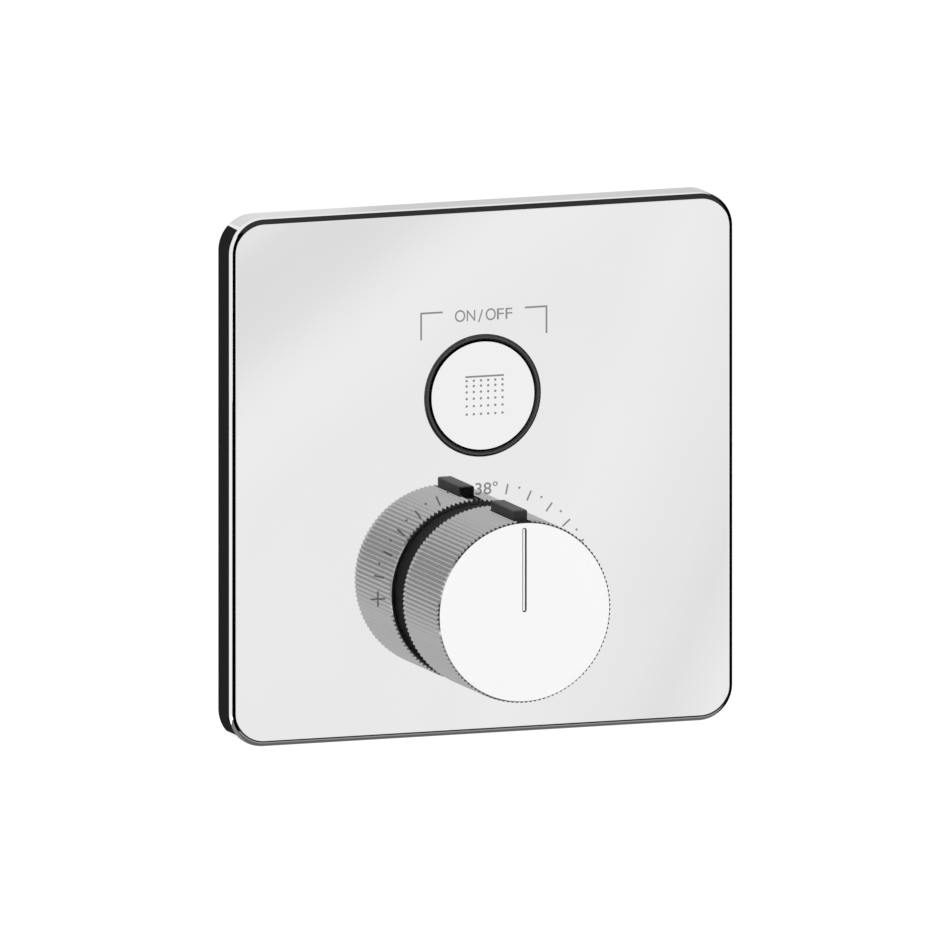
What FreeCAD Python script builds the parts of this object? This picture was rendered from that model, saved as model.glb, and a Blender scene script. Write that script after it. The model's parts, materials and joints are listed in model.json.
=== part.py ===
import FreeCAD, Part
import math
import operator
import os
import Sketcher

# Sizes in millimetres, and counts and shares. Heights are measured from the finished wall toward the user,
# depths from the finished wall into it.
SIZES = {
    # Clearances: pieces pushed together, pieces that turn or slide in each other, pieces that pass each other
    "push_clearance": 0.1,
    "running_clearance": 0.08,
    "free_clearance": 0.3,
    # Cover plate
    "plate_side": 150.0,
    "plate_front": 10.5,
    "plate_wall": 2.0,
    "plate_corner": 10.0,
    "plate_edge_round": 1.9,
    "plate_standoff": 0.3,
    "button_height": 21.2,
    "knob_drop": 35.0,
    "peg_inset": 19.0,
    "peg_radius": 2.5,
    "peg_end": 1.2,
    # Wall seal
    "seal_width": 8.0,
    "seal_height": 5.0,
    # Carrier sheet, its screws and the grommets that grip the pegs of the plate
    "carrier_inset": 13.0,
    "carrier_rear": 2.0,
    "carrier_thickness": 2.0,
    "carrier_corner": 6.0,
    "carrier_hole_margin": 2.5,
    "grommet_neck_wall": 1.3,
    "grommet_flange_rim": 1.4,
    "grommet_flange_thickness": 1.2,
    "screw_radius": 1.95,
    "screw_head_radius": 3.6,
    "screw_head_height": 2.2,
    "screw_length": 9.0,
    # Push button
    "cap_radius": 15.5,
    "cap_proud": 0.4,
    "cap_thickness": 2.5,
    "cap_skirt_wall": 1.7,
    "cap_skirt_depth": 3.7,
    "cap_edge_chamfer": 0.2,
    "bezel_width": 1.5,
    "bezel_proud": 0.4,
    "bezel_round": 0.6,
    "bezel_depth": 5.9,
    "bezel_flange_rim": 2.3,
    "bezel_flange_thickness": 1.5,
    "button_travel": 3.0,
    "stem_radius": 3.5,
    "stem_tail_radius": 2.5,
    "stem_plate_radius": 7.5,
    "stem_plate_thickness": 2.7,
    "stem_tail_end": 33.0,
    "button_coil_radius": 9.0,
    "button_wire_radius": 0.5,
    "button_coil_turns": 4.0,
    # On/off cartridge
    "gland_seat": 3.0,
    "flange_thickness": 3.0,
    "stop_radius": 13.2,
    "stop_flange_radius": 15.2,
    "stop_bore_radius": 13.5,
    "stop_recess_radius": 15.5,
    "stop_depth": 38.0,
    "stop_head_thickness": 7.0,
    "stop_chamber_radius": 10.0,
    "stop_skirt_radius": 9.5,
    "stop_neck_radius": 6.5,
    "stop_neck_height": 2.0,
    "seat_depth": 26.0,
    "seat_thickness": 2.0,
    "seat_radius": 5.0,
    "washer_radius": 7.5,
    "washer_thickness": 4.0,
    "stop_gland_height": 1.0,
    "stop_gland_recess_radius": 11.5,
    "stop_gland_recess_depth": 2.0,
    "stop_ring_radius": 0.8,
    "stop_ring_front_inset": 2.2,
    # Thermostatic cartridge
    "thermo_radius": 14.8,
    "thermo_flange_radius": 17.7,
    "thermo_bore_radius": 15.0,
    "thermo_recess_radius": 18.0,
    "thermo_head_thickness": 6.0,
    "thermo_cavity_radius": 12.0,
    "neck_radius": 10.5,
    "neck_rise": 6.5,
    "thermo_gland_height": 3.0,
    "gland_slot_width": 3.0,
    "gland_slot_depth": 2.0,
    "gland_slot_reach": 3.2,
    "gland_slot_count": 4,
    "thermo_ring_radius": 0.9,
    "thermo_ring_front_inset": 7.0,
    "thermo_ring_rear_inset": 4.0,
    "ring_squeeze": 0.05,
    "port_radius": 5.5,
    "spindle_radius": 4.0,
    "spindle_front": 33.5,
    "spindle_flat": 3.2,
    "spindle_flat_length": 13.0,
    "spindle_collar_radius": 8.0,
    "spindle_collar_thickness": 2.2,
    "lead_screw_inset": 4.0,
    "shuttle_travel": 1.0,
    "drive_nut_room": 4.5,
    "drive_nut_length": 15.0,
    "drive_nut_radius": 9.5,
    "element_head_radius": 5.6,
    "element_head_length": 4.0,
    "element_seat_depth": 3.0,
    "element_radius": 4.5,
    "element_length": 18.0,
    "piston_radius": 1.5,
    "shuttle_length": 18.0,
    "shuttle_end_room": 4.0,
    "shuttle_wall": 2.2,
    "shuttle_web_inset": 10.0,
    "shuttle_web_thickness": 2.0,
    "shuttle_hole_radius": 1.6,
    "shuttle_hole_count": 6,
    "spring_seat_radius": 6.0,
    "spring_seat_thickness": 1.4,
    "thermo_coil_radius": 7.2,
    "thermo_wire_radius": 0.7,
    "thermo_coil_turns": 3.5,
    "limit_ring_rim": 6.0,
    "limit_ring_height": 4.0,
    "limit_lug_width": 4.0,
    "limit_lug_reach": 1.1,
    "limit_lug_height": 5.5,
    # Base collar
    "collar_radius": 24.5,
    "collar_inner_radius": 18.5,
    "collar_rise": 4.8,
    "collar_spigot_radius": 20.7,
    "collar_spigot_depth": 2.4,
    # Knob
    "knob_length": 29.3,
    "knurl_tip_radius": 25.85,
    "knurl_depth": 0.6,
    "knurl_overcut": 0.1,
    "knurl_groove_share": 0.94,
    "knurl_count": 120,
    "knob_wall": 2.2,
    "knob_face_thickness": 2.4,
    "pointer_width": 1.3,
    "pointer_round_share": 0.9,
    "pointer_length": 23.9,
    "pointer_depth": 0.4,
    "pointer_slope_angle": 45.0,
    "tab_slot_width": 4.55,
    "tab_slot_front_wall": 1.7,
    "tab_slot_floor": 3.0,
    # Knob hub
    "hub_sleeve_wall": 2.2,
    "hub_inset": 2.4,
    "hub_web_thickness": 4.3,
    "hub_boss_radius": 8.0,
    "hub_boss_rear": 20.0,
    "hub_bore_over": 1.5,
    "hub_block_width": 10.0,
    "hub_block_rear": 21.8,
    "hub_pocket_floor": 16.0,
    "grub_radius": 1.9,
    "grub_length": 5.0,
    "grub_socket_radius": 1.1,
    "grub_socket_depth": 2.0,
    "grub_height": 28.0,
    # Safety-stop tab
    "tab_width": 4.05,
    "tab_rear": 23.0,
    "tab_length": 18.5,
    "tab_top": 28.45,
    "tab_edge_chamfer": 0.3,
    "tab_flange_width": 6.2,
    "tab_flange_thickness": 1.8,
    "tab_travel": 2.0,
    "tab_coil_radius": 2.0,
    "tab_wire_radius": 0.3,
    "tab_coil_turns": 3.0,
    # Body in the wall
    "thermo_barrel_radius": 21.0,
    "thermo_barrel_floor": 12.0,
    "thermo_bore_over": 8.0,
    "stop_barrel_radius": 18.0,
    "stop_barrel_step": 10.0,
    "stop_bore_over": 2.0,
    "transfer_radius": 5.0,
    "transfer_inset": 6.0,
    "transfer_bore_radius": 8.0,
    "bridge_width": 26.0,
    "bridge_front": 6.0,
    "inlet_depth": 36.0,
    "inlet_boss_radius": 13.0,
    "inlet_face": 32.0,
    "inlet_bore_radius": 9.0,
    "inlet_bore_floor": 17.5,
    "outlet_depth": 20.0,
    "outlet_boss_radius": 12.0,
    "outlet_face": 24.0,
    "outlet_bore_floor": 18.0,
    "outlet_passage_radius": 6.0,
    "boss_radius": 5.0,
    "boss_offset": 20.0,
    "boss_drop": 7.0,
    "crossbar_front": 8.0,
    "crossbar_thickness": 14.0,
    "screw_hole_depth": 12.0,
    "casting_round": 1.5,
    "casting_fillet": 3.0,
    # Unions
    "union_bore_radius": 6.5,
    "union_thread_radius": 9.3,
    "union_thread_depth": 13.0,
    "union_length": 18.0,
    "union_barrel_radius": 12.6,
    "union_hex_radius": 15.0,
    "union_hex_length": 6.0,
    "union_hex_chamfer": 1.1,
    "union_end_chamfer": 0.8,
    "union_spigot_length": 4.5,
    # Non-return valves and strainers
    "cage_floor": 18.0,
    "cage_bore_radius": 6.0,
    "cage_web_thickness": 1.5,
    "cage_seat_thickness": 1.5,
    "cage_seat_radius": 4.2,
    "cage_hole_radius": 1.2,
    "cage_hole_pitch_radius": 3.9,
    "cage_hole_count": 6,
    "poppet_radius": 5.2,
    "poppet_thickness": 1.8,
    "poppet_stem_radius": 1.2,
    "poppet_stem_over": 0.5,
    "poppet_travel": 2.0,
    "check_coil_radius": 2.4,
    "check_wire_radius": 0.3,
    "check_coil_turns": 2.5,
    "strainer_radius": 8.5,
    "strainer_thickness": 1.0,
    "strainer_hole_radius": 1.0,
    "strainer_outer_pitch_radius": 6.4,
    "strainer_outer_count": 14,
    "strainer_inner_pitch_radius": 3.4,
    "strainer_inner_count": 7,
    # Wall bracket and its screws
    "bracket_side_margin": 7.0,
    "bracket_end_margin": 6.0,
    "bracket_thickness": 2.5,
    "bracket_corner": 5.0,
    "bracket_hole_radius": 3.0,
    "bracket_hole_span": 78.0,
    "bracket_hole_rise": 52.0,
    "bracket_screw_span": 24.0,
    "bracket_screw_length": 8.0,
    "countersink_radius": 3.7,
    "countersink_depth": 1.7,
}

FULL_TURN = 360.0
HEXAGON_COUNT = 6
HEXAGON_FLAT_SHARE = math.cos(math.pi / HEXAGON_COUNT)
TOUCH = 1e-4

doc = FreeCAD.newDocument("shower_mixer")
sheet = doc.addObject("Spreadsheet::Sheet", "dim")
for row, (alias, value) in enumerate(SIZES.items(), 1):
    sheet.set("A%d" % row, alias)
    sheet.set("B%d" % row, str(value))
    sheet.setAlias("B%d" % row, alias)
doc.recompute()


class Length:
    """A number together with the sheet expression that gives it."""

    def __init__(self, value, text):
        self.value = value
        self.text = text

    def combine(self, sign, work, other):
        if not isinstance(other, Length):
            other = Length(float(other), repr(other))
        return Length(work(self.value, other.value), "(%s %s %s)" % (self.text, sign, other.text))

    def __add__(self, other):
        return self.combine("+", operator.add, other)

    def __sub__(self, other):
        return self.combine("-", operator.sub, other)

    def __mul__(self, other):
        return self.combine("*", operator.mul, other)

    def __truediv__(self, other):
        return self.combine("/", operator.truediv, other)

    def __neg__(self):
        return Length(-self.value, "(0 - %s)" % self.text)


class Sizes:
    """Gives each named cell of the sheet as a Length."""

    def __getattr__(self, alias):
        return Length(float(sheet.get(alias)), "dim." + alias)


dim = Sizes()
ZERO = Length(0.0, "0")

# The wall frame has x to the right, y up and z toward the user. FACING stands it up in the frame of the part.
FACING = FreeCAD.Rotation(FreeCAD.Vector(1, 0, 0), 90)
STRAIGHT = FreeCAD.Rotation()
TO_RIGHT = FreeCAD.Rotation(FreeCAD.Vector(0, 1, 0), 90)
TO_LEFT = FreeCAD.Rotation(FreeCAD.Vector(0, 1, 0), -90)
TO_TOP = FreeCAD.Rotation(FreeCAD.Vector(1, 0, 0), -90)
TO_FLOOR = FreeCAD.Rotation(FreeCAD.Vector(1, 0, 0), 90)
QUARTER_BACK = FreeCAD.Rotation(FreeCAD.Vector(0, 0, 1), -90)


def bind_place(thing, x, y, z, rotation):
    thing.Placement = FreeCAD.Placement(FreeCAD.Vector(x.value, y.value, z.value), rotation)
    for axis, size in zip("xyz", (x, y, z)):
        if size is not ZERO:
            thing.setExpression("Placement.Base." + axis, size.text)
    return thing


def lay(thing, x, y, z, turn=STRAIGHT):
    """Place a piece of a larger shape in the wall frame."""
    return bind_place(thing, x, y, z, turn)


def stand(thing, x, y, z, turn=STRAIGHT):
    """Place a finished piece, given in the wall frame, in the frame of the part."""
    return bind_place(thing, x, ZERO if z is ZERO else -z, y, FACING * turn)


# Sketches and features

def new_body(label):
    body = doc.addObject("PartDesign::Body", label)
    body.Label = label
    return body


def datum(body, role):
    return [feature for feature in body.Origin.OriginFeatures if feature.Role == role][0]


def new_sketch(body, name, plane, lift):
    sketch = body.newObject("Sketcher::SketchObject", name)
    sketch.AttachmentSupport = [(datum(body, plane), "")]
    sketch.MapMode = "FlatFace"
    if lift is not ZERO:
        sketch.AttachmentOffset = FreeCAD.Placement(FreeCAD.Vector(0, 0, lift.value), STRAIGHT)
        sketch.setExpression("AttachmentOffset.Base.z", lift.text)
    return sketch


def pin(sketch, geometry, point, u, v):
    """Hold a point of a sketch at u, v from its origin."""
    for kind, size, axis in (("DistanceX", u, -2), ("DistanceY", v, -1)):
        if size is ZERO:
            sketch.addConstraint(Sketcher.Constraint("PointOnObject", geometry, point, axis))
        else:
            rule = Sketcher.Constraint(kind, -1, 1, geometry, point, size.value)
            bind_rule(sketch, rule, size)


def bind_rule(sketch, rule, size):
    index = sketch.addConstraint(rule)
    sketch.setExpression("Constraints[%d]" % index, size.text)


def outline(body, name, plane, points, lift=ZERO):
    """A closed sketch of straight lines through the points."""
    sketch = new_sketch(body, name, plane, lift)
    corners = [FreeCAD.Vector(u.value, v.value, 0) for u, v in points]
    following = list(range(1, len(points))) + [0]
    for k, after in enumerate(following):
        sketch.addGeometry(Part.LineSegment(corners[k], corners[after]))
    for k, after in enumerate(following):
        sketch.addConstraint(Sketcher.Constraint("Coincident", k, 2, after, 1))
    for k, (u, v) in enumerate(points):
        pin(sketch, k, 1, u, v)
    return sketch


def rectangle(body, name, left, right, bottom, top, lift=ZERO):
    return outline(body, name, "XY_Plane", [(left, bottom), (right, bottom), (right, top), (left, top)], lift)


def rounded(body, name, left, right, bottom, top, corner, lift=ZERO):
    """A closed sketch of a rectangle with round corners."""
    sketch = new_sketch(body, name, "XY_Plane", lift)
    west, east, south, north, turn = left.value, right.value, bottom.value, top.value, corner.value
    lines = [
        ((west + turn, south), (east - turn, south)),
        ((east, south + turn), (east, north - turn)),
        ((east - turn, north), (west + turn, north)),
        ((west, north - turn), (west, south + turn)),
    ]
    centres = [
        (east - turn, south + turn, 3),
        (east - turn, north - turn, 0),
        (west + turn, north - turn, 1),
        (west + turn, south + turn, 2),
    ]
    for start, end in lines:
        sketch.addGeometry(Part.LineSegment(FreeCAD.Vector(*start, 0), FreeCAD.Vector(*end, 0)))
    for u, v, quarter in centres:
        circle = Part.Circle(FreeCAD.Vector(u, v, 0), FreeCAD.Vector(0, 0, 1), turn)
        first = quarter * math.pi / 2
        sketch.addGeometry(Part.ArcOfCircle(circle, first, first + math.pi / 2))
    for k, after in enumerate((1, 2, 3, 0)):
        arc = len(lines) + k
        sketch.addConstraint(Sketcher.Constraint("Tangent", k, 2, arc, 1))
        sketch.addConstraint(Sketcher.Constraint("Tangent", arc, 2, after, 1))
        sketch.addConstraint(Sketcher.Constraint("Vertical" if k % 2 else "Horizontal", k))
    bind_rule(sketch, Sketcher.Constraint("DistanceY", -1, 1, 0, 1, south), bottom)
    bind_rule(sketch, Sketcher.Constraint("DistanceX", -1, 1, 1, 1, east), right)
    bind_rule(sketch, Sketcher.Constraint("DistanceY", -1, 1, 2, 1, north), top)
    bind_rule(sketch, Sketcher.Constraint("DistanceX", -1, 1, 3, 1, west), left)
    bind_rule(sketch, Sketcher.Constraint("Radius", len(lines), turn), corner)
    for k in range(1, len(lines)):
        sketch.addConstraint(Sketcher.Constraint("Equal", len(lines), len(lines) + k))
    return sketch


def circles(body, name, plane, centres, radius, lift=ZERO):
    sketch = new_sketch(body, name, plane, lift)
    for k, (u, v) in enumerate(centres):
        centre = FreeCAD.Vector(u.value, v.value, 0)
        sketch.addGeometry(Part.Circle(centre, FreeCAD.Vector(0, 0, 1), radius.value))
        pin(sketch, k, 3, u, v)
        bind_rule(sketch, Sketcher.Constraint("Radius", k, radius.value), radius)
    return sketch


def pad(body, sketch, length, backward=False):
    feature = body.newObject("PartDesign::Pad", sketch.Name + "_pad")
    feature.Profile = sketch
    feature.Reversed = backward
    feature.setExpression("Length", length.text)
    return feature


def pocket(body, sketch, depth, forward=False):
    feature = body.newObject("PartDesign::Pocket", sketch.Name + "_pocket")
    feature.Profile = sketch
    feature.Reversed = forward
    feature.setExpression("Length", depth.text)
    return feature


def drill(body, sketch):
    """Cut a sketch right through its body, both ways."""
    feature = body.newObject("PartDesign::Pocket", sketch.Name + "_drill")
    feature.Profile = sketch
    feature.Type = "ThroughAll"
    feature.SideType = "Symmetric"
    return feature


def ring_pattern(body, feature, count):
    pattern = body.newObject("PartDesign::PolarPattern", feature.Name + "_ring")
    pattern.Originals = [feature]
    pattern.Axis = (datum(body, "Z_Axis"), [""])
    pattern.Angle = FULL_TURN
    pattern.setExpression("Occurrences", count.text)
    body.Tip = pattern
    return pattern


def soften(body, kind, sizes, chosen):
    """Fillet or chamfer the edges whose box passes the test."""
    base = body.Tip
    doc.recompute()
    names = ["Edge%d" % k for k, edge in enumerate(base.Shape.Edges, 1) if chosen(edge.BoundBox)]
    feature = body.newObject("PartDesign::" + kind, body.Name + "_" + kind.lower())
    feature.Base = (base, names)
    for key, size in sizes.items():
        feature.setExpression(key, size.text)
    return feature


def turned(label, points):
    """A body turned about its z axis from points given as radius and height."""
    body = new_body(label)
    sketch = outline(body, label + "_half", "XZ_Plane", points)
    feature = body.newObject("PartDesign::Revolution", label + "_turn")
    feature.Profile = sketch
    feature.ReferenceAxis = (sketch, ["V_Axis"])
    feature.Angle = FULL_TURN
    return body


def primitive(kind, name, sizes):
    thing = doc.addObject("Part::" + kind, name)
    for key, size in sizes.items():
        thing.setExpression(key, size.text)
    return thing


def rod(name, radius, length):
    return primitive("Cylinder", name, {"Radius": radius, "Height": length})


def block(name, left, right, bottom, top, rear, front):
    thing = primitive("Box", name, {"Length": right - left, "Width": top - bottom, "Height": front - rear})
    return lay(thing, left, bottom, rear)


def fuse(name, shapes):
    thing = doc.addObject("Part::MultiFuse", name)
    thing.Shapes = shapes
    thing.Refine = True
    return thing


def cut(label, base, tool):
    thing = doc.addObject("Part::Cut", label)
    thing.Label = label
    thing.Base = base
    thing.Tool = tool
    thing.Refine = True
    return thing


def ease(name, base, rules):
    """Round the edges of a shape by the radius of the test that they pass."""
    doc.recompute()
    thing = doc.addObject("Part::Fillet", name)
    thing.Base = base
    thing.Edges = [
        (k, radius.value, radius.value)
        for k, edge in enumerate(base.Shape.Edges, 1)
        for radius, chosen in rules
        if chosen(edge)
    ]
    return thing


def group(label, shapes):
    thing = doc.addObject("Part::Compound", label)
    thing.Label = label
    thing.Links = shapes
    return thing


def bend(start, heading, end):
    """The arc from start, leaving along heading, to end."""
    chord = end - start
    along = FreeCAD.Vector(chord).normalize()
    side = heading - along * heading.dot(along)
    angle = heading.getAngle(along)
    middle = (start + end) / 2 + side.normalize() * (chord.Length / 2 * math.tan(angle / 2))
    return Part.Arc(start, middle, end).toShape()


def coil(label, mean_radius, wire_radius, low, high, turns):
    """A coil spring about the z axis: one unbroken round wire on pairs of arcs, one pair to a half turn."""
    radius, wire, count = mean_radius.value, wire_radius.value, turns.value
    rise = high.value - low.value - 2 * wire
    halves = int(round(2 * count))
    points = []
    headings = []
    for k in range(halves + 1):
        angle = math.pi * k * 2 * count / halves
        height = low.value + wire + rise * k / halves
        slope = rise / (2 * math.pi * count)
        across = radius * math.cos(angle)
        along = radius * math.sin(angle)
        points.append(FreeCAD.Vector(across, along, height))
        headings.append(FreeCAD.Vector(-along, across, slope).normalize())
    arcs = []
    for start, end, first, last in zip(points, points[1:], headings, headings[1:]):
        gap = end - start
        both = first + last
        spread = 2 * (1 - first.dot(last))
        reach = (-gap.dot(both) + math.sqrt(gap.dot(both) ** 2 + spread * gap.dot(gap))) / spread
        middle = (start + end + (first - last) * reach) / 2
        arcs.append(bend(start, first, middle))
        arcs.append(bend(middle, (end - last * reach - middle).normalize(), end))
    section = Part.Wire(Part.makeCircle(wire, points[0], headings[0]))
    thing = doc.addObject("Part::Feature", label)
    thing.Label = label
    thing.Shape = Part.Wire(arcs).makePipeShell([section], True, False)
    print("%s: %.2f mm between turns" % (label, rise / count - 2 * wire))
    return thing


def corners_at(reach):
    return [(reach, reach), (-reach, reach), (-reach, -reach), (reach, -reach)]


# Heights shared by several pieces
plate_half = dim.plate_side / 2
plate_back = dim.plate_front - dim.plate_wall
carrier_front = dim.carrier_rear + dim.carrier_thickness
bezel_inner = dim.cap_radius + dim.free_clearance
bezel_outer = bezel_inner + dim.bezel_width
cap_front = dim.plate_front + dim.cap_proud
cap_back = cap_front - dim.cap_thickness
collar_front = dim.plate_front + dim.collar_rise
knob_rear = collar_front + dim.free_clearance
knob_front = knob_rear + dim.knob_length
knob_root = dim.knurl_tip_radius - dim.knurl_depth
knob_cavity = knob_root - dim.knob_wall
knob_floor = knob_front - dim.knob_face_thickness
flange_depth = dim.gland_seat + dim.flange_thickness
thermo_head_end = dim.gland_seat + dim.thermo_head_thickness
spindle_collar_end = thermo_head_end + dim.free_clearance + dim.spindle_collar_thickness
drive_nut_front = spindle_collar_end + dim.drive_nut_room
drive_nut_rear = drive_nut_front + dim.drive_nut_length
element_head_depth = drive_nut_rear - dim.element_seat_depth
element_end = element_head_depth + dim.element_length
lead_screw_end = element_head_depth - dim.lead_screw_inset
shuttle_front = element_head_depth
shuttle_rear = shuttle_front + dim.shuttle_length
shuttle_web_front = shuttle_front + dim.shuttle_web_inset
thermo_depth = shuttle_rear + dim.shuttle_end_room
stop_bore_depth = dim.stop_depth + dim.stop_bore_over
thermo_bore_depth = thermo_depth + dim.thermo_bore_over
thermo_barrel_depth = thermo_bore_depth + dim.thermo_barrel_floor
stop_barrel_depth = thermo_barrel_depth - dim.stop_barrel_step
transfer_depth = thermo_bore_depth - dim.transfer_inset
neck_front = dim.plate_front + dim.neck_rise

# Faceplate: a hollow cover with two holes and four pegs behind it
faceplate = new_body("faceplate")
plate_face = rounded(faceplate, "plate_outline", -plate_half, plate_half, -plate_half, plate_half,
                     dim.plate_corner, dim.plate_standoff)
pad(faceplate, plate_face, dim.plate_front - dim.plate_standoff)
soften(faceplate, "Fillet", {"Radius": dim.plate_edge_round},
       lambda box: box.ZMin > dim.plate_front.value - TOUCH)
hollow_half = plate_half - dim.plate_wall
hollow = rounded(faceplate, "plate_hollow", -hollow_half, hollow_half, -hollow_half, hollow_half,
                 dim.plate_corner - dim.plate_wall, dim.plate_standoff)
pocket(faceplate, hollow, plate_back - dim.plate_standoff, forward=True)
drill(faceplate, circles(faceplate, "plate_button_hole", "XY_Plane", [(ZERO, dim.button_height)],
                         bezel_outer + dim.push_clearance))
drill(faceplate, circles(faceplate, "plate_knob_hole", "XY_Plane", [(ZERO, -dim.knob_drop)],
                         dim.collar_spigot_radius + dim.push_clearance))
peg_places = corners_at(plate_half - dim.peg_inset)
pegs = circles(faceplate, "plate_pegs", "XY_Plane", peg_places, dim.peg_radius, plate_back)
pad(faceplate, pegs, plate_back - dim.peg_end, backward=True)
stand(faceplate, ZERO, ZERO, ZERO)

# Wall seal: a soft frame inside the rim of the plate
wall_seal = new_body("wall_seal")
seal_half = hollow_half - dim.push_clearance
seal_corner = dim.plate_corner - dim.plate_wall - dim.push_clearance
seal_outer = rounded(wall_seal, "seal_outer", -seal_half, seal_half, -seal_half, seal_half, seal_corner)
pad(wall_seal, seal_outer, dim.seal_height)
seal_gap = seal_half - dim.seal_width
drill(wall_seal, rounded(wall_seal, "seal_inner", -seal_gap, seal_gap, -seal_gap, seal_gap, seal_corner))
stand(wall_seal, ZERO, ZERO, ZERO)

# Carrier: a sheet on the body in the wall, with grommets for the pegs of the plate
carrier = new_body("carrier")
carrier_half = plate_half - dim.carrier_inset
carrier_outline = rounded(carrier, "carrier_outline", -carrier_half, carrier_half,
                          -carrier_half, carrier_half, dim.carrier_corner, dim.carrier_rear)
pad(carrier, carrier_outline, dim.carrier_thickness)
drill(carrier, circles(carrier, "carrier_button_hole", "XY_Plane", [(ZERO, dim.button_height)],
                       dim.stop_recess_radius + dim.carrier_hole_margin))
drill(carrier, circles(carrier, "carrier_knob_hole", "XY_Plane", [(ZERO, -dim.knob_drop)],
                       dim.thermo_recess_radius + dim.carrier_hole_margin))
grommet_bore = dim.peg_radius + dim.push_clearance
grommet_neck = grommet_bore + dim.grommet_neck_wall
drill(carrier, circles(carrier, "carrier_grommet_holes", "XY_Plane", peg_places,
                       grommet_neck + dim.push_clearance))
boss_places = [(dim.boss_offset, -dim.boss_drop), (-dim.boss_offset, -dim.boss_drop)]
drill(carrier, circles(carrier, "carrier_screw_holes", "XY_Plane", boss_places,
                       dim.screw_radius + dim.free_clearance))
stand(carrier, ZERO, ZERO, ZERO)

grommet_rim = grommet_neck + dim.grommet_flange_rim
grommet_low = dim.carrier_rear - dim.push_clearance
grommet_high = carrier_front + dim.push_clearance
grommets = []
for k, (x, y) in enumerate(peg_places):
    grommet = turned("grommet_%d" % k, [
        (grommet_bore, grommet_low - dim.grommet_flange_thickness),
        (grommet_rim, grommet_low - dim.grommet_flange_thickness),
        (grommet_rim, grommet_low),
        (grommet_neck, grommet_low),
        (grommet_neck, grommet_high),
        (grommet_rim, grommet_high),
        (grommet_rim, grommet_high + dim.grommet_flange_thickness),
        (grommet_bore, grommet_high + dim.grommet_flange_thickness),
    ])
    grommets.append(lay(grommet, x, y, ZERO))
plate_grommets = stand(group("plate_grommets", grommets), ZERO, ZERO, ZERO)

screws = []
for k, (x, y) in enumerate(boss_places):
    screw = turned("carrier_screw_%d" % k, [
        (ZERO, carrier_front - dim.screw_length),
        (dim.screw_radius, carrier_front - dim.screw_length),
        (dim.screw_radius, carrier_front),
        (dim.screw_head_radius, carrier_front),
        (dim.screw_head_radius, carrier_front + dim.screw_head_height),
        (ZERO, carrier_front + dim.screw_head_height),
    ])
    screws.append(lay(screw, x, y, ZERO))
carrier_screws = stand(group("carrier_screws", screws), ZERO, ZERO, ZERO)

# Push button: a chrome cap, a black ring round it, and the stem that works the on/off cartridge
button_cap = turned("button_cap", [
    (ZERO, cap_back),
    (dim.cap_radius - dim.cap_skirt_wall, cap_back),
    (dim.cap_radius - dim.cap_skirt_wall, cap_back - dim.cap_skirt_depth),
    (dim.cap_radius, cap_back - dim.cap_skirt_depth),
    (dim.cap_radius, cap_front - dim.cap_edge_chamfer),
    (dim.cap_radius - dim.cap_edge_chamfer, cap_front),
    (ZERO, cap_front),
])
stand(button_cap, ZERO, dim.button_height, ZERO)

bezel_front = dim.plate_front + dim.bezel_proud
bezel_flange_front = plate_back - dim.push_clearance
button_bezel = turned("button_bezel", [
    (bezel_inner, bezel_front - dim.bezel_depth),
    (bezel_outer, bezel_front - dim.bezel_depth),
    (bezel_outer, bezel_flange_front - dim.bezel_flange_thickness),
    (bezel_outer + dim.bezel_flange_rim, bezel_flange_front - dim.bezel_flange_thickness),
    (bezel_outer + dim.bezel_flange_rim, bezel_flange_front),
    (bezel_outer, bezel_flange_front),
    (bezel_outer, bezel_front),
    (bezel_inner, bezel_front),
])
soften(button_bezel, "Fillet", {"Radius": dim.bezel_round},
       lambda box: box.ZMin > bezel_front.value - TOUCH)
stand(button_bezel, ZERO, dim.button_height, ZERO)

stem_plate_rear = cap_back - dim.stem_plate_thickness
washer_front = -(dim.seat_depth + dim.seat_thickness + dim.free_clearance)
button_stem = turned("button_stem", [
    (ZERO, -dim.stem_tail_end),
    (dim.stem_tail_radius, -dim.stem_tail_end),
    (dim.stem_tail_radius, washer_front),
    (dim.stem_radius, washer_front),
    (dim.stem_radius, stem_plate_rear),
    (dim.stem_plate_radius, stem_plate_rear),
    (dim.stem_plate_radius, cap_back),
    (ZERO, cap_back),
])
stand(button_stem, ZERO, dim.button_height, ZERO)

stop_washer = turned("stop_washer", [
    (dim.stem_tail_radius, washer_front - dim.washer_thickness),
    (dim.washer_radius, washer_front - dim.washer_thickness),
    (dim.washer_radius, washer_front),
    (dim.stem_tail_radius, washer_front),
])
stand(stop_washer, ZERO, dim.button_height, ZERO)


# Cartridges

def ring_groove(radius, floor, centre, ring):
    """The four corners of a groove for a sealing ring, from the rear to the front."""
    half = ring + dim.push_clearance
    return [(radius, centre - half), (floor, centre - half), (floor, centre + half), (radius, centre + half)]


def sealing_rings(label, bore, ring, centres, height):
    rings = []
    for k, centre in enumerate(centres):
        torus = primitive("Torus", "%s_%d" % (label, k), {
            "Radius1": bore - ring - dim.ring_squeeze,
            "Radius2": ring,
        })
        rings.append(lay(torus, ZERO, ZERO, centre))
    return stand(group(label, rings), ZERO, height, ZERO)


def gland_slots(body, name, radius, height):
    """Spanner slots round the front of a gland nut."""
    half = dim.gland_slot_width / 2
    slot = rectangle(body, name, -half, half, radius - dim.gland_slot_reach,
                     radius + dim.gland_slot_reach, height)
    ring_pattern(body, pocket(body, slot, dim.gland_slot_depth), dim.gland_slot_count)


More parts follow.
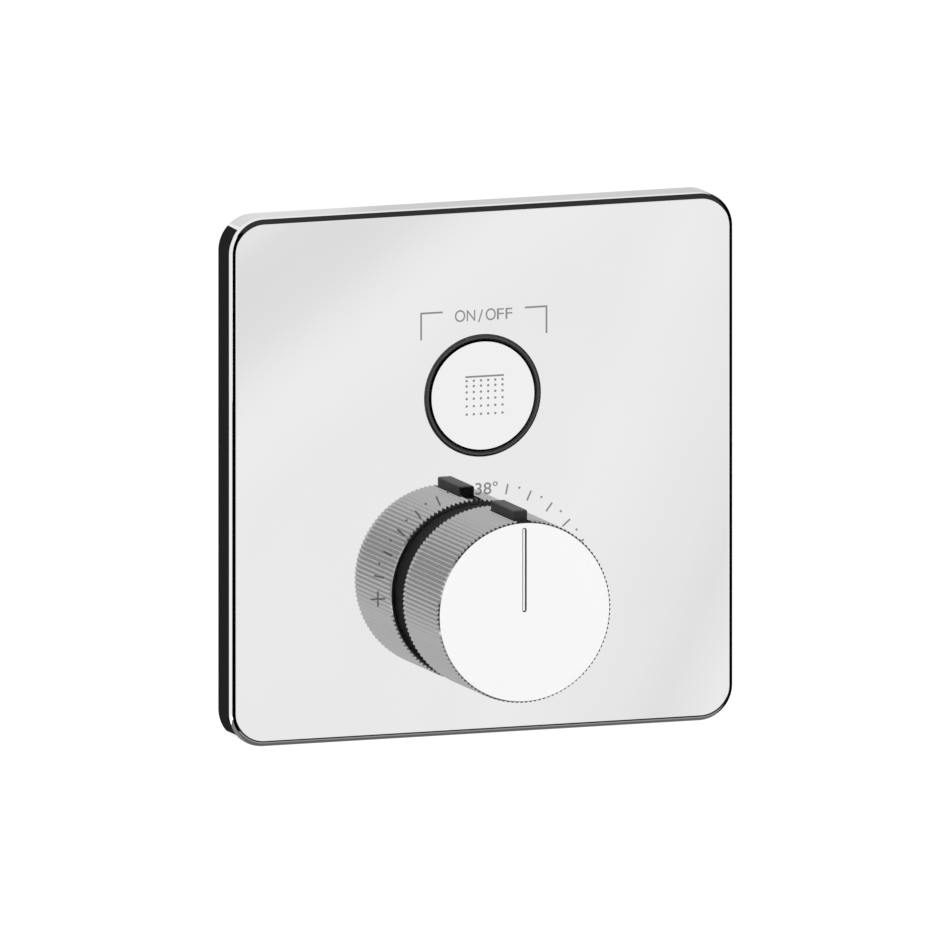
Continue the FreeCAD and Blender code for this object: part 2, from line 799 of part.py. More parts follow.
# On/off cartridge
stop_head_rear = -(dim.gland_seat + dim.stop_head_thickness)
stop_ring_places = [-(dim.seat_depth + dim.seat_thickness / 2), -(flange_depth + dim.stop_ring_front_inset)]
stop_ring_floor = dim.stop_bore_radius - dim.stop_ring_radius * 2 - dim.push_clearance
stem_bore = dim.stem_radius + dim.running_clearance
stop_housing = turned("stop_housing", [
    (dim.stop_skirt_radius, -dim.stop_depth),
    (dim.stop_radius, -dim.stop_depth),
    *ring_groove(dim.stop_radius, stop_ring_floor, stop_ring_places[0], dim.stop_ring_radius),
    *ring_groove(dim.stop_radius, stop_ring_floor, stop_ring_places[1], dim.stop_ring_radius),
    (dim.stop_radius, -flange_depth),
    (dim.stop_flange_radius, -flange_depth),
    (dim.stop_flange_radius, -dim.gland_seat),
    (dim.stop_neck_radius, -dim.gland_seat),
    (dim.stop_neck_radius, dim.stop_neck_height),
    (stem_bore, dim.stop_neck_height),
    (stem_bore, stop_head_rear),
    (dim.stop_chamber_radius, stop_head_rear),
    (dim.stop_chamber_radius, -dim.seat_depth),
    (dim.seat_radius, -dim.seat_depth),
    (dim.seat_radius, -(dim.seat_depth + dim.seat_thickness)),
    (dim.stop_skirt_radius, -(dim.seat_depth + dim.seat_thickness)),
])
drill(stop_housing, circles(stop_housing, "stop_ports", "XZ_Plane", [(ZERO, -dim.outlet_depth)],
                            dim.transfer_radius))
stand(stop_housing, ZERO, dim.button_height, ZERO)

stop_seals = sealing_rings("stop_seals", dim.stop_bore_radius, dim.stop_ring_radius, stop_ring_places,
                           dim.button_height)

gland_bore = dim.stop_neck_radius + dim.free_clearance
button_spring_rear = dim.stop_gland_height - dim.stop_gland_recess_depth
stop_gland_nut = turned("stop_gland_nut", [
    (gland_bore, -dim.gland_seat),
    (dim.stop_flange_radius, -dim.gland_seat),
    (dim.stop_flange_radius, dim.stop_gland_height),
    (dim.stop_gland_recess_radius, dim.stop_gland_height),
    (dim.stop_gland_recess_radius, button_spring_rear),
    (gland_bore, button_spring_rear),
])
gland_slots(stop_gland_nut, "stop_gland_slot", dim.stop_flange_radius, dim.stop_gland_height)
stand(stop_gland_nut, ZERO, dim.button_height, ZERO)

button_spring = coil("button_spring", dim.button_coil_radius, dim.button_wire_radius,
                     button_spring_rear, cap_back, dim.button_coil_turns)
stand(button_spring, ZERO, dim.button_height, ZERO)

# Thermostatic cartridge
thermo_head_rear = -thermo_head_end
thermo_ring_places = [
    -(thermo_depth - dim.thermo_ring_rear_inset),
    -(flange_depth + dim.thermo_ring_front_inset),
]
thermo_ring_floor = dim.thermo_bore_radius - dim.thermo_ring_radius * 2 - dim.push_clearance
spindle_bore = dim.spindle_radius + dim.running_clearance
thermo_housing = turned("thermo_housing", [
    (dim.thermo_cavity_radius, -thermo_depth),
    (dim.thermo_radius, -thermo_depth),
    *ring_groove(dim.thermo_radius, thermo_ring_floor, thermo_ring_places[0], dim.thermo_ring_radius),
    *ring_groove(dim.thermo_radius, thermo_ring_floor, thermo_ring_places[1], dim.thermo_ring_radius),
    (dim.thermo_radius, -flange_depth),
    (dim.thermo_flange_radius, -flange_depth),
    (dim.thermo_flange_radius, -dim.gland_seat),
    (dim.neck_radius, -dim.gland_seat),
    (dim.neck_radius, neck_front),
    (spindle_bore, neck_front),
    (spindle_bore, thermo_head_rear),
    (dim.thermo_cavity_radius, thermo_head_rear),
])
drill(thermo_housing, circles(thermo_housing, "thermo_ports", "YZ_Plane", [(ZERO, -dim.inlet_depth)],
                              dim.port_radius))
stand(thermo_housing, ZERO, -dim.knob_drop, ZERO)

thermo_seals = sealing_rings("thermo_seals", dim.thermo_bore_radius, dim.thermo_ring_radius,
                             thermo_ring_places, -dim.knob_drop)

thermo_gland_bore = dim.neck_radius + dim.free_clearance
thermo_gland_nut = turned("thermo_gland_nut", [
    (thermo_gland_bore, -dim.gland_seat),
    (dim.thermo_flange_radius, -dim.gland_seat),
    (dim.thermo_flange_radius, dim.thermo_gland_height),
    (thermo_gland_bore, dim.thermo_gland_height),
])
gland_slots(thermo_gland_nut, "thermo_gland_slot", dim.thermo_flange_radius, dim.thermo_gland_height)
stand(thermo_gland_nut, ZERO, -dim.knob_drop, ZERO)

limit_bore = dim.neck_radius + dim.push_clearance
limit_rim = dim.neck_radius + dim.limit_ring_rim
limit_ring = turned("limit_ring", [
    (limit_bore, dim.plate_front),
    (limit_rim, dim.plate_front),
    (limit_rim, dim.plate_front + dim.limit_ring_height),
    (limit_bore, dim.plate_front + dim.limit_ring_height),
])
lug_half = dim.limit_lug_width / 2
limit_lug = rectangle(limit_ring, "limit_lug", -lug_half, lug_half, limit_rim - dim.limit_lug_width,
                      limit_rim + dim.limit_lug_reach, dim.plate_front)
pad(limit_ring, limit_lug, dim.limit_lug_height)
stand(limit_ring, ZERO, -dim.knob_drop, ZERO)

spindle_collar_front = thermo_head_rear - dim.free_clearance
thermo_spindle = turned("thermo_spindle", [
    (ZERO, -lead_screw_end),
    (dim.spindle_radius, -lead_screw_end),
    (dim.spindle_radius, -spindle_collar_end),
    (dim.spindle_collar_radius, -spindle_collar_end),
    (dim.spindle_collar_radius, spindle_collar_front),
    (dim.spindle_radius, spindle_collar_front),
    (dim.spindle_radius, dim.spindle_front),
    (ZERO, dim.spindle_front),
])
spindle_flat = rectangle(thermo_spindle, "spindle_flat", -dim.spindle_collar_radius,
                         dim.spindle_collar_radius, -dim.spindle_collar_radius, -dim.spindle_flat,
                         dim.spindle_front)
pocket(thermo_spindle, spindle_flat, dim.spindle_flat_length)
stand(thermo_spindle, ZERO, -dim.knob_drop, ZERO)

nut_bore = dim.spindle_radius + dim.free_clearance
element_seat = dim.element_head_radius + dim.push_clearance
drive_nut = turned("drive_nut", [
    (element_seat, -drive_nut_rear),
    (dim.drive_nut_radius, -drive_nut_rear),
    (dim.drive_nut_radius, -drive_nut_front),
    (nut_bore, -drive_nut_front),
    (nut_bore, -element_head_depth),
    (element_seat, -element_head_depth),
])
stand(drive_nut, ZERO, -dim.knob_drop, ZERO)

element_head_rear = element_head_depth + dim.element_head_length
wax_element = turned("wax_element", [
    (ZERO, -element_end),
    (dim.element_radius, -element_end),
    (dim.element_radius, -element_head_rear),
    (dim.element_head_radius, -element_head_rear),
    (dim.element_head_radius, -element_head_depth),
    (dim.piston_radius, -element_head_depth),
    (dim.piston_radius, -(lead_screw_end + dim.shuttle_travel + dim.free_clearance)),
    (ZERO, -(lead_screw_end + dim.shuttle_travel + dim.free_clearance)),
])
stand(wax_element, ZERO, -dim.knob_drop, ZERO)

shuttle_radius = dim.thermo_cavity_radius - dim.running_clearance
shuttle_bore = shuttle_radius - dim.shuttle_wall
shuttle_hub = dim.element_radius + dim.push_clearance
shuttle_web_rear = shuttle_web_front + dim.shuttle_web_thickness
shuttle_sleeve = turned("shuttle_sleeve", [
    (shuttle_hub, -shuttle_web_rear),
    (shuttle_bore, -shuttle_web_rear),
    (shuttle_bore, -shuttle_rear),
    (shuttle_radius, -shuttle_rear),
    (shuttle_radius, -shuttle_front),
    (shuttle_bore, -shuttle_front),
    (shuttle_bore, -shuttle_web_front),
    (shuttle_hub, -shuttle_web_front),
])
shuttle_hole = circles(shuttle_sleeve, "shuttle_hole", "XY_Plane", [(ZERO, (shuttle_hub + shuttle_bore) / 2)],
                       dim.shuttle_hole_radius)
ring_pattern(shuttle_sleeve, drill(shuttle_sleeve, shuttle_hole), dim.shuttle_hole_count)
stand(shuttle_sleeve, ZERO, -dim.knob_drop, ZERO)

spring_seat_front = -(thermo_depth - dim.spring_seat_thickness)
spring_seat = turned("spring_seat", [
    (dim.spring_seat_radius, -thermo_depth),
    (dim.thermo_cavity_radius - dim.push_clearance, -thermo_depth),
    (dim.thermo_cavity_radius - dim.push_clearance, spring_seat_front),
    (dim.spring_seat_radius, spring_seat_front),
])
stand(spring_seat, ZERO, -dim.knob_drop, ZERO)

thermo_spring = coil("thermo_spring", dim.thermo_coil_radius, dim.thermo_wire_radius, spring_seat_front,
                     -shuttle_web_rear, dim.thermo_coil_turns)
stand(thermo_spring, ZERO, -dim.knob_drop, ZERO)

# Base collar: the black ring that the knob turns in front of
base_collar = turned("base_collar", [
    (dim.collar_inner_radius, dim.plate_front - dim.collar_spigot_depth),
    (dim.collar_spigot_radius, dim.plate_front - dim.collar_spigot_depth),
    (dim.collar_spigot_radius, dim.plate_front),
    (dim.collar_radius, dim.plate_front),
    (dim.collar_radius, collar_front),
    (dim.collar_inner_radius, collar_front),
])
stand(base_collar, ZERO, -dim.knob_drop, ZERO)

# Knob: a knurled shell with a pointer groove, and a slot for the safety-stop tab
knob_shell = turned("knob_shell", [
    (knob_cavity, knob_rear),
    (knob_root, knob_rear),
    (dim.knurl_tip_radius, knob_rear + dim.knurl_depth),
    (dim.knurl_tip_radius, knob_front - dim.knurl_depth),
    (knob_root, knob_front),
    (ZERO, knob_front),
    (ZERO, knob_floor),
    (knob_cavity, knob_floor),
])
knurl_top = dim.knurl_tip_radius + dim.knurl_overcut
knurl_half = dim.knurl_tip_radius * math.pi / dim.knurl_count * dim.knurl_groove_share
knurl_half = knurl_half * (dim.knurl_depth + dim.knurl_overcut) / dim.knurl_depth
knurl = outline(knob_shell, "knurl_groove", "XY_Plane",
                [(-knurl_half, knurl_top), (ZERO, knob_root), (knurl_half, knurl_top)])
ring_pattern(knob_shell, drill(knob_shell, knurl), dim.knurl_count)
slot_half = dim.tab_slot_width / 2
slot_front = knob_front - dim.tab_slot_front_wall
slot_rear = dim.tab_rear - dim.free_clearance
tab_slot = rectangle(knob_shell, "tab_slot", -slot_half, slot_half, knob_root - dim.tab_slot_floor,
                     knurl_top, slot_front)
pocket(knob_shell, tab_slot, slot_front - slot_rear)
pointer_half = dim.pointer_width / 2
pointer = rounded(knob_shell, "pointer_groove", -pointer_half, pointer_half, ZERO,
                  dim.pointer_length, pointer_half * dim.pointer_round_share, knob_front)
pointer_pocket = pocket(knob_shell, pointer, dim.pointer_depth)
pointer_pocket.setExpression("TaperAngle", (-dim.pointer_slope_angle).text)
grub_hole = circles(knob_shell, "knob_grub_hole", "XZ_Plane", [(ZERO, dim.grub_height)],
                    dim.grub_radius + dim.push_clearance)
pocket(knob_shell, grub_hole, knurl_top, forward=True)
stand(knob_shell, ZERO, -dim.knob_drop, ZERO)

# Knob hub: grips the spindle, and holds the tab and its spring
hub_outer = knob_cavity - dim.push_clearance
hub_inner = hub_outer - dim.hub_sleeve_wall
hub_front = knob_floor - dim.push_clearance
hub_bore = dim.spindle_radius + dim.push_clearance
hub_web_rear = hub_front - dim.hub_web_thickness
knob_hub = turned("knob_hub", [
    (hub_bore, dim.hub_boss_rear),
    (dim.hub_boss_radius, dim.hub_boss_rear),
    (dim.hub_boss_radius, hub_web_rear),
    (hub_inner, hub_web_rear),
    (hub_inner, knob_rear + dim.hub_inset),
    (hub_outer, knob_rear + dim.hub_inset),
    (hub_outer, hub_front),
    (ZERO, hub_front),
    (ZERO, dim.spindle_front + dim.hub_bore_over),
    (hub_bore, dim.spindle_front + dim.hub_bore_over),
])
block_half = dim.hub_block_width / 2
hub_block = rectangle(knob_hub, "hub_block", -block_half, block_half,
                      dim.hub_boss_radius - dim.hub_sleeve_wall, hub_inner + dim.push_clearance,
                      dim.hub_block_rear)
pad(knob_hub, hub_block, hub_web_rear - dim.hub_block_rear)
tab_front = dim.tab_rear + dim.tab_length
hub_pocket_half = dim.tab_flange_width / 2 + dim.free_clearance
hub_pocket = rectangle(knob_hub, "hub_pocket", -hub_pocket_half, hub_pocket_half,
                       dim.hub_pocket_floor, knob_root, hub_front)
pocket(knob_hub, hub_pocket, hub_front - slot_rear)
hub_grub_hole = circles(knob_hub, "hub_grub_hole", "XZ_Plane", [(ZERO, dim.grub_height)],
                        dim.grub_radius + dim.push_clearance)
pocket(knob_hub, hub_grub_hole, knurl_top, forward=True)
stand(knob_hub, ZERO, -dim.knob_drop, ZERO)

grub_blank = rod("grub_blank", dim.grub_radius, dim.grub_length)
grub_socket = primitive("Prism", "grub_socket", {
    "Circumradius": dim.grub_socket_radius,
    "Height": dim.grub_socket_depth,
})
grub_socket.Polygon = HEXAGON_COUNT
lay(grub_socket, ZERO, ZERO, dim.grub_length - dim.grub_socket_depth)
knob_grub_screw = cut("knob_grub_screw", grub_blank, grub_socket)
grub_top = -(dim.knob_drop + dim.spindle_flat + dim.push_clearance)
stand(knob_grub_screw, ZERO, grub_top, dim.grub_height, TO_FLOOR)

# Safety-stop tab: slides toward the axis of the knob against its spring
tab_flange_top = knob_cavity - dim.free_clearance * 2
tab_flange_foot = tab_flange_top - dim.tab_flange_thickness
stop_button = new_body("stop_button")
tab_half = dim.tab_width / 2
tab = rectangle(stop_button, "tab", -tab_half, tab_half, tab_flange_foot, dim.tab_top, dim.tab_rear)
pad(stop_button, tab, dim.tab_length)
tab_flange_half = dim.tab_flange_width / 2
tab_flange = rectangle(stop_button, "tab_flange", -tab_flange_half, tab_flange_half,
                       tab_flange_foot, tab_flange_top, dim.tab_rear)
pad(stop_button, tab_flange, dim.tab_length)
soften(stop_button, "Chamfer", {"Size": dim.tab_edge_chamfer},
       lambda box: box.YMin > dim.tab_top.value - TOUCH)
stand(stop_button, ZERO, -dim.knob_drop, ZERO)

stop_spring = coil("stop_spring", dim.tab_coil_radius, dim.tab_wire_radius, dim.hub_pocket_floor,
                   tab_flange_foot, dim.tab_coil_turns)
stand(stop_spring, ZERO, -dim.knob_drop, (dim.tab_rear + tab_front) / 2, TO_TOP)

# Body in the wall: two barrels joined by a bridge, with bosses for the inlets, the outlet and the carrier
lower = -dim.knob_drop
thermo_barrel = lay(rod("thermo_barrel", dim.thermo_barrel_radius, thermo_barrel_depth),
                    ZERO, lower, -thermo_barrel_depth, QUARTER_BACK)
stop_barrel = lay(rod("stop_barrel", dim.stop_barrel_radius, stop_barrel_depth),
                  ZERO, dim.button_height, -stop_barrel_depth)
bridge = block("bridge", -dim.bridge_width / 2, dim.bridge_width / 2, lower, dim.button_height,
               -stop_barrel_depth, -dim.bridge_front)
inlet_boss = lay(rod("inlet_boss", dim.inlet_boss_radius, dim.inlet_face * 2),
                 -dim.inlet_face, lower, -dim.inlet_depth, TO_RIGHT)
outlet_boss = lay(rod("outlet_boss", dim.outlet_boss_radius, dim.outlet_face),
                  ZERO, dim.button_height, -dim.outlet_depth, TO_TOP)
crossbar_rear = -(dim.crossbar_front + dim.crossbar_thickness)
crossbar = block("crossbar", -dim.boss_offset, dim.boss_offset, -(dim.boss_drop + dim.boss_radius),
                 dim.boss_radius - dim.boss_drop, crossbar_rear, -dim.crossbar_front)
boss_length = dim.carrier_rear + dim.crossbar_front + dim.crossbar_thickness
bosses = [
    lay(rod("carrier_boss_%d" % k, dim.boss_radius, boss_length), x, y, dim.carrier_rear - boss_length)
    for k, (x, y) in enumerate(boss_places)
]
casting = fuse("casting", [thermo_barrel, stop_barrel, bridge, inlet_boss, outlet_boss, crossbar, *bosses])


def is_rim(edge):
    """True for the round rims at the ends of the barrels and bosses of the casting."""
    box = edge.BoundBox
    ends = [
        box.ZMax + thermo_barrel_depth.value,
        abs(box.XMin) - dim.inlet_face.value,
        abs(box.XMax) - dim.inlet_face.value,
        box.YMin - (dim.button_height + dim.outlet_face).value,
    ]
    flat = min(box.XLength, box.YLength, box.ZLength) < TOUCH
    return flat and edge.isClosed() and min(abs(end) for end in ends) < TOUCH


def is_corner(edge):
    """True where a boss springs from a barrel, and along the corners between the bridge and the barrels."""
    if isinstance(edge.Curve, Part.BSplineCurve):
        return True
    box = edge.BoundBox
    whole = abs(box.ZLength - (stop_barrel_depth - dim.bridge_front).value) < TOUCH
    return whole and abs(abs(box.XMin) - (dim.bridge_width / 2).value) < TOUCH


eased_casting = ease("eased_casting", casting, [(dim.casting_round, is_rim), (dim.casting_fillet, is_corner)])

bores = [
    lay(rod("thermo_bore", dim.thermo_bore_radius, thermo_bore_depth), ZERO, lower, -thermo_bore_depth),
    lay(rod("thermo_recess", dim.thermo_recess_radius, flange_depth), ZERO, lower, -flange_depth),
    lay(rod("stop_bore", dim.stop_bore_radius, stop_bore_depth),
        ZERO, dim.button_height, -stop_bore_depth),
    lay(rod("stop_recess", dim.stop_recess_radius, flange_depth), ZERO, dim.button_height, -flange_depth),
    lay(rod("transfer_bore", dim.transfer_bore_radius, transfer_depth),
        ZERO, dim.button_height, -transfer_depth),
    lay(rod("transfer", dim.transfer_radius, dim.knob_drop + dim.button_height),
        ZERO, lower, -transfer_depth, TO_TOP),
    lay(rod("inlet_passage", dim.port_radius, dim.inlet_face * 2),
        -dim.inlet_face, lower, -dim.inlet_depth, TO_RIGHT),
    lay(rod("outlet_passage", dim.outlet_passage_radius, dim.outlet_face),
        ZERO, dim.button_height, -dim.outlet_depth, TO_TOP),
    lay(rod("outlet_bore", dim.inlet_bore_radius, dim.outlet_face - dim.outlet_bore_floor),
        ZERO, dim.button_height + dim.outlet_bore_floor, -dim.outlet_depth, TO_TOP),
]
inlet_bore_length = dim.inlet_face - dim.inlet_bore_floor
bores.append(lay(rod("cold_bore", dim.inlet_bore_radius, inlet_bore_length),
                 dim.inlet_bore_floor, lower, -dim.inlet_depth, TO_RIGHT))
bores.append(lay(rod("hot_bore", dim.inlet_bore_radius, inlet_bore_length),
                 -dim.inlet_bore_floor, lower, -dim.inlet_depth, TO_LEFT))
thread_radius = dim.screw_radius + dim.ring_squeeze
for k, (x, y) in enumerate(boss_places):
    hole = rod("carrier_boss_hole_%d" % k, thread_radius, dim.screw_hole_depth)
    bores.append(lay(hole, x, y, dim.carrier_rear - dim.screw_hole_depth))
bracket_screw_places = [dim.bracket_screw_span / 2, -dim.bracket_screw_span / 2]
for k, x in enumerate(bracket_screw_places):
    hole = rod("bracket_boss_hole_%d" % k, thread_radius, dim.bracket_screw_length)
    bores.append(lay(hole, x, lower, -thermo_barrel_depth))
valve_body = cut("valve_body", eased_casting, fuse("bores", bores))
stand(valve_body, ZERO, ZERO, ZERO)


# Unions: hexagon nipples with the threaded mouths for the pipes

def pipe_union(label, face):
    """A union along z, pushed into a boss whose face is at the given distance."""
    spigot_end = face - dim.union_spigot_length
    hexagon = primitive("Prism", label + "_hexagon", {
        "Circumradius": dim.union_hex_radius,
        "Height": dim.union_hex_length,
    })
    hexagon.Polygon = HEXAGON_COUNT
    lay(hexagon, ZERO, ZERO, face)
    flat = dim.union_hex_radius * HEXAGON_FLAT_SHARE
    hex_end = face + dim.union_hex_length
    blank = turned(label + "_hex_blank", [
        (ZERO, face),
        (flat, face),
        (dim.union_hex_radius, face + dim.union_hex_chamfer),
        (dim.union_hex_radius, hex_end - dim.union_hex_chamfer),
        (flat, hex_end),
        (ZERO, hex_end),
    ])
    nut = doc.addObject("Part::MultiCommon", label + "_nut")
    nut.Shapes = [hexagon, blank]
    mouth = face + dim.union_length
    barrel = turned(label + "_barrel", [
        (ZERO, face),
        (dim.union_barrel_radius, face),
        (dim.union_barrel_radius, mouth - dim.union_end_chamfer),
        (dim.union_barrel_radius - dim.union_end_chamfer, mouth),
        (ZERO, mouth),
    ])
    spigot = rod(label + "_spigot", dim.inlet_bore_radius - dim.push_clearance, dim.union_spigot_length)
    lay(spigot, ZERO, ZERO, spigot_end)
    solid = fuse(label + "_solid", [nut, barrel, spigot])
    bore = rod(label + "_bore", dim.union_bore_radius, dim.union_length + dim.union_spigot_length)
    lay(bore, ZERO, ZERO, spigot_end)
    thread_floor = mouth - dim.union_thread_depth
    thread = rod(label + "_thread", dim.union_thread_radius, dim.union_thread_depth)
    lay(thread, ZERO, ZERO, thread_floor)
    seat = rod(label + "_seat", dim.strainer_radius + dim.push_clearance, dim.strainer_thickness)
    lay(seat, ZERO, ZERO, thread_floor - dim.strainer_thickness)
    return cut(label, solid, fuse(label + "_hollow", [bore, thread, seat]))


inlet_union_hot = pipe_union("inlet_union_hot", dim.inlet_face)
stand(inlet_union_hot, ZERO, lower, -dim.inlet_depth, TO_LEFT)
inlet_union_cold = pipe_union("inlet_union_cold", dim.inlet_face)
stand(inlet_union_cold, ZERO, lower, -dim.inlet_depth, TO_RIGHT)
outlet_union = pipe_union("outlet_union", dim.outlet_face)
stand(outlet_union, ZERO, dim.button_height, -dim.outlet_depth, TO_TOP)

# Non-return valves: cage, poppet and spring, along z from the middle of the body outward
cage_end = dim.inlet_face - dim.union_spigot_length - dim.push_clearance
cage_seat_rear = cage_end - dim.cage_seat_thickness
cage_web_front = dim.cage_floor + dim.cage_web_thickness
poppet_front = cage_seat_rear - dim.free_clearance
poppet_rear = poppet_front - dim.poppet_thickness


def check_cage(label, turn):
    guide = dim.poppet_stem_radius + dim.running_clearance
    outer = dim.inlet_bore_radius - dim.push_clearance
    cage = turned(label, [
        (guide, dim.cage_floor),
        (outer, dim.cage_floor),
        (outer, cage_end),
        (dim.cage_seat_radius, cage_end),
        (dim.cage_seat_radius, cage_seat_rear),
        (dim.cage_bore_radius, cage_seat_rear),
        (dim.cage_bore_radius, cage_web_front),
        (guide, cage_web_front),
    ])
    hole = circles(cage, label + "_hole", "XY_Plane", [(ZERO, dim.cage_hole_pitch_radius)],
                   dim.cage_hole_radius, cage_web_front)
    ring_pattern(cage, pocket(cage, hole, dim.cage_web_thickness), dim.cage_hole_count)
    return stand(cage, ZERO, lower, -dim.inlet_depth, turn)


def check_poppet(label, turn):
    poppet = turned(label, [
        (ZERO, dim.cage_floor - dim.poppet_stem_over),
        (dim.poppet_stem_radius, dim.cage_floor - dim.poppet_stem_over),
        (dim.poppet_stem_radius, poppet_rear),
        (dim.poppet_radius, poppet_rear),
        (dim.poppet_radius, poppet_front),
        (ZERO, poppet_front),
    ])
    return stand(poppet, ZERO, lower, -dim.inlet_depth, turn)


def check_spring(label, turn):
    spring = coil(label, dim.check_coil_radius, dim.check_wire_radius, cage_web_front, poppet_rear,
                  dim.check_coil_turns)
    return stand(spring, ZERO, lower, -dim.inlet_depth, turn)


check_cage_hot = check_cage("check_cage_hot", TO_LEFT)
check_cage_cold = check_cage("check_cage_cold", TO_RIGHT)
check_poppet_hot = check_poppet("check_poppet_hot", TO_LEFT)
check_poppet_cold = check_poppet("check_poppet_cold", TO_RIGHT)
check_spring_hot = check_spring("check_spring_hot", TO_LEFT)
check_spring_cold = check_spring("check_spring_cold", TO_RIGHT)

# Inlet strainers: drilled discs at the bottom of the threaded mouths
strainer_front = dim.inlet_face + dim.union_length - dim.union_thread_depth
strainer_rear = strainer_front - dim.strainer_thickness
strainers = []
for name, turn in (("strainer_hot", TO_LEFT), ("strainer_cold", TO_RIGHT)):
    strainer = turned(name, [
        (ZERO, strainer_rear),
        (dim.strainer_radius, strainer_rear),
        (dim.strainer_radius, strainer_front),
        (ZERO, strainer_front),
    ])
    for ring, reach, count in (("outer", dim.strainer_outer_pitch_radius, dim.strainer_outer_count),
                               ("inner", dim.strainer_inner_pitch_radius, dim.strainer_inner_count)):
        hole = circles(strainer, "%s_%s_hole" % (name, ring), "XY_Plane", [(ZERO, reach)],
                       dim.strainer_hole_radius, strainer_front)
        ring_pattern(strainer, pocket(strainer, hole, dim.strainer_thickness), count)
    strainers.append(lay(strainer, ZERO, lower, -dim.inlet_depth, turn))
inlet_strainers = stand(group("inlet_strainers", strainers), ZERO, ZERO, ZERO)

# Wall bracket: a sheet screwed to the rear of the body
bracket_rear = -(thermo_barrel_depth + dim.bracket_thickness)
bracket_sheet = new_body("bracket_sheet")
span = dim.bracket_hole_span / 2
rise = dim.bracket_hole_rise / 2
bracket_half = span + dim.bracket_side_margin
bracket_end = rise + dim.bracket_end_margin
bracket_outline = rounded(bracket_sheet, "bracket_outline", -bracket_half, bracket_half,
                          -bracket_end, bracket_end, dim.bracket_corner, bracket_rear)
pad(bracket_sheet, bracket_outline, dim.bracket_thickness)
fixings = [(span, rise), (-span, rise), (-span, -rise), (span, -rise)]
drill(bracket_sheet, circles(bracket_sheet, "bracket_holes", "XY_Plane", fixings, dim.bracket_hole_radius))
screw_centres = [(x, ZERO) for x in bracket_screw_places]
drill(bracket_sheet, circles(bracket_sheet, "bracket_screw_holes", "XY_Plane", screw_centres,
                             dim.screw_radius + dim.free_clearance))
countersinks = []
for k, x in enumerate(bracket_screw_places):
    sink = primitive("Cone", "countersink_%d" % k, {
        "Radius1": dim.countersink_radius + dim.push_clearance,
        "Radius2": dim.screw_radius + dim.push_clearance,
        "Height": dim.countersink_depth,
    })
    countersinks.append(lay(sink, x, ZERO, bracket_rear))
wall_bracket = cut("wall_bracket", bracket_sheet, fuse("countersinks", countersinks))
stand(wall_bracket, ZERO, lower, ZERO)

bracket_screw_parts = []
for k, x in enumerate(bracket_screw_places):
    screw = turned("bracket_screw_%d" % k, [
        (ZERO, bracket_rear),
        (dim.countersink_radius, bracket_rear),
        (dim.screw_radius, bracket_rear + dim.countersink_depth),
        (dim.screw_radius, bracket_rear + dim.bracket_screw_length),
        (ZERO, bracket_rear + dim.bracket_screw_length),
    ])
    bracket_screw_parts.append(lay(screw, x, ZERO, ZERO))
bracket_screws = stand(group("bracket_screws", bracket_screw_parts), ZERO, lower, ZERO)

pieces = [
    faceplate, wall_seal, carrier, carrier_screws, plate_grommets, button_bezel, button_cap, button_stem,
    stop_washer, button_spring, stop_housing, stop_seals, stop_gland_nut, base_collar, knob_shell, knob_hub,
    knob_grub_screw, stop_button, stop_spring, limit_ring, thermo_spindle, thermo_housing, thermo_seals,
    thermo_gland_nut, drive_nut, wax_element, shuttle_sleeve, spring_seat, thermo_spring, valve_body,
    inlet_union_hot, inlet_union_cold, outlet_union, check_cage_hot, check_cage_cold, check_poppet_hot,
    check_poppet_cold, check_spring_hot, check_spring_cold, inlet_strainers, wall_bracket, bracket_screws,
]

doc.recompute()
for thing in doc.Objects:
    if "Invalid" in thing.State or "Error" in thing.State:
        raise RuntimeError("%s did not build" % thing.Label)
os.makedirs("parts", exist_ok=True)
for piece in pieces:
    if piece.Shape.isNull() or not piece.Shape.isValid():
        raise RuntimeError("%s has no valid shape" % piece.Label)
    piece.Shape.exportStep("parts/%s.step" % piece.Label)
print("%d pieces" % len(pieces))
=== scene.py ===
import json
import math

import bmesh
import bpy
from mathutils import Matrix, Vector


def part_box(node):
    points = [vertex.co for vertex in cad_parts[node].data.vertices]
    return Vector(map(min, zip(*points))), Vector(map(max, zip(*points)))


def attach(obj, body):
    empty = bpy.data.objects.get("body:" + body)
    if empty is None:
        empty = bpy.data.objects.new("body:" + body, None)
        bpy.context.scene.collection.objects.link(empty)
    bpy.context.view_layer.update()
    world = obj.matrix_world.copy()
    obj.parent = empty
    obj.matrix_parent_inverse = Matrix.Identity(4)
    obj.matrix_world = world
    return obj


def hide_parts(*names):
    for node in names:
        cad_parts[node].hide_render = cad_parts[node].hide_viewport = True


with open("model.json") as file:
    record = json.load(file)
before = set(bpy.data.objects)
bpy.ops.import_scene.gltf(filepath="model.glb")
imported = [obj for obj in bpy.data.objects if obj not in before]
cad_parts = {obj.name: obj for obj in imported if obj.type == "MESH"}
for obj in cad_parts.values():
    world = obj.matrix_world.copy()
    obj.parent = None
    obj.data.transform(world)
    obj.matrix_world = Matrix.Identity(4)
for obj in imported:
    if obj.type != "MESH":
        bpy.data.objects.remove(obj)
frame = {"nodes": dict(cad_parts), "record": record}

bl_info = {
    "name": "Concealed shower mixer",
    "version": (1, 0, 0),
    "blender": (4, 5, 0),
    "location": "3D View > Sidebar > Shower mixer",
    "description": "Dresses a concealed thermostatic shower mixer and sets its studio",
    "category": "Add Mesh",
}

MM = 0.001


# Settings

def length(name, description, millimetres):
    """A setting for a length, which is given in millimetres and kept in metres."""
    return bpy.props.FloatProperty(name=name, description=description,
                                   default=millimetres * MM, unit="LENGTH")


def angle(name, description, degrees):
    """A setting for an angle, which is given in degrees and kept in radians."""
    return bpy.props.FloatProperty(name=name, description=description,
                                   default=math.radians(degrees), subtype="ANGLE")


def count(name, description, number):
    """A setting for a number of like things."""
    return bpy.props.IntProperty(name=name, description=description, default=number)


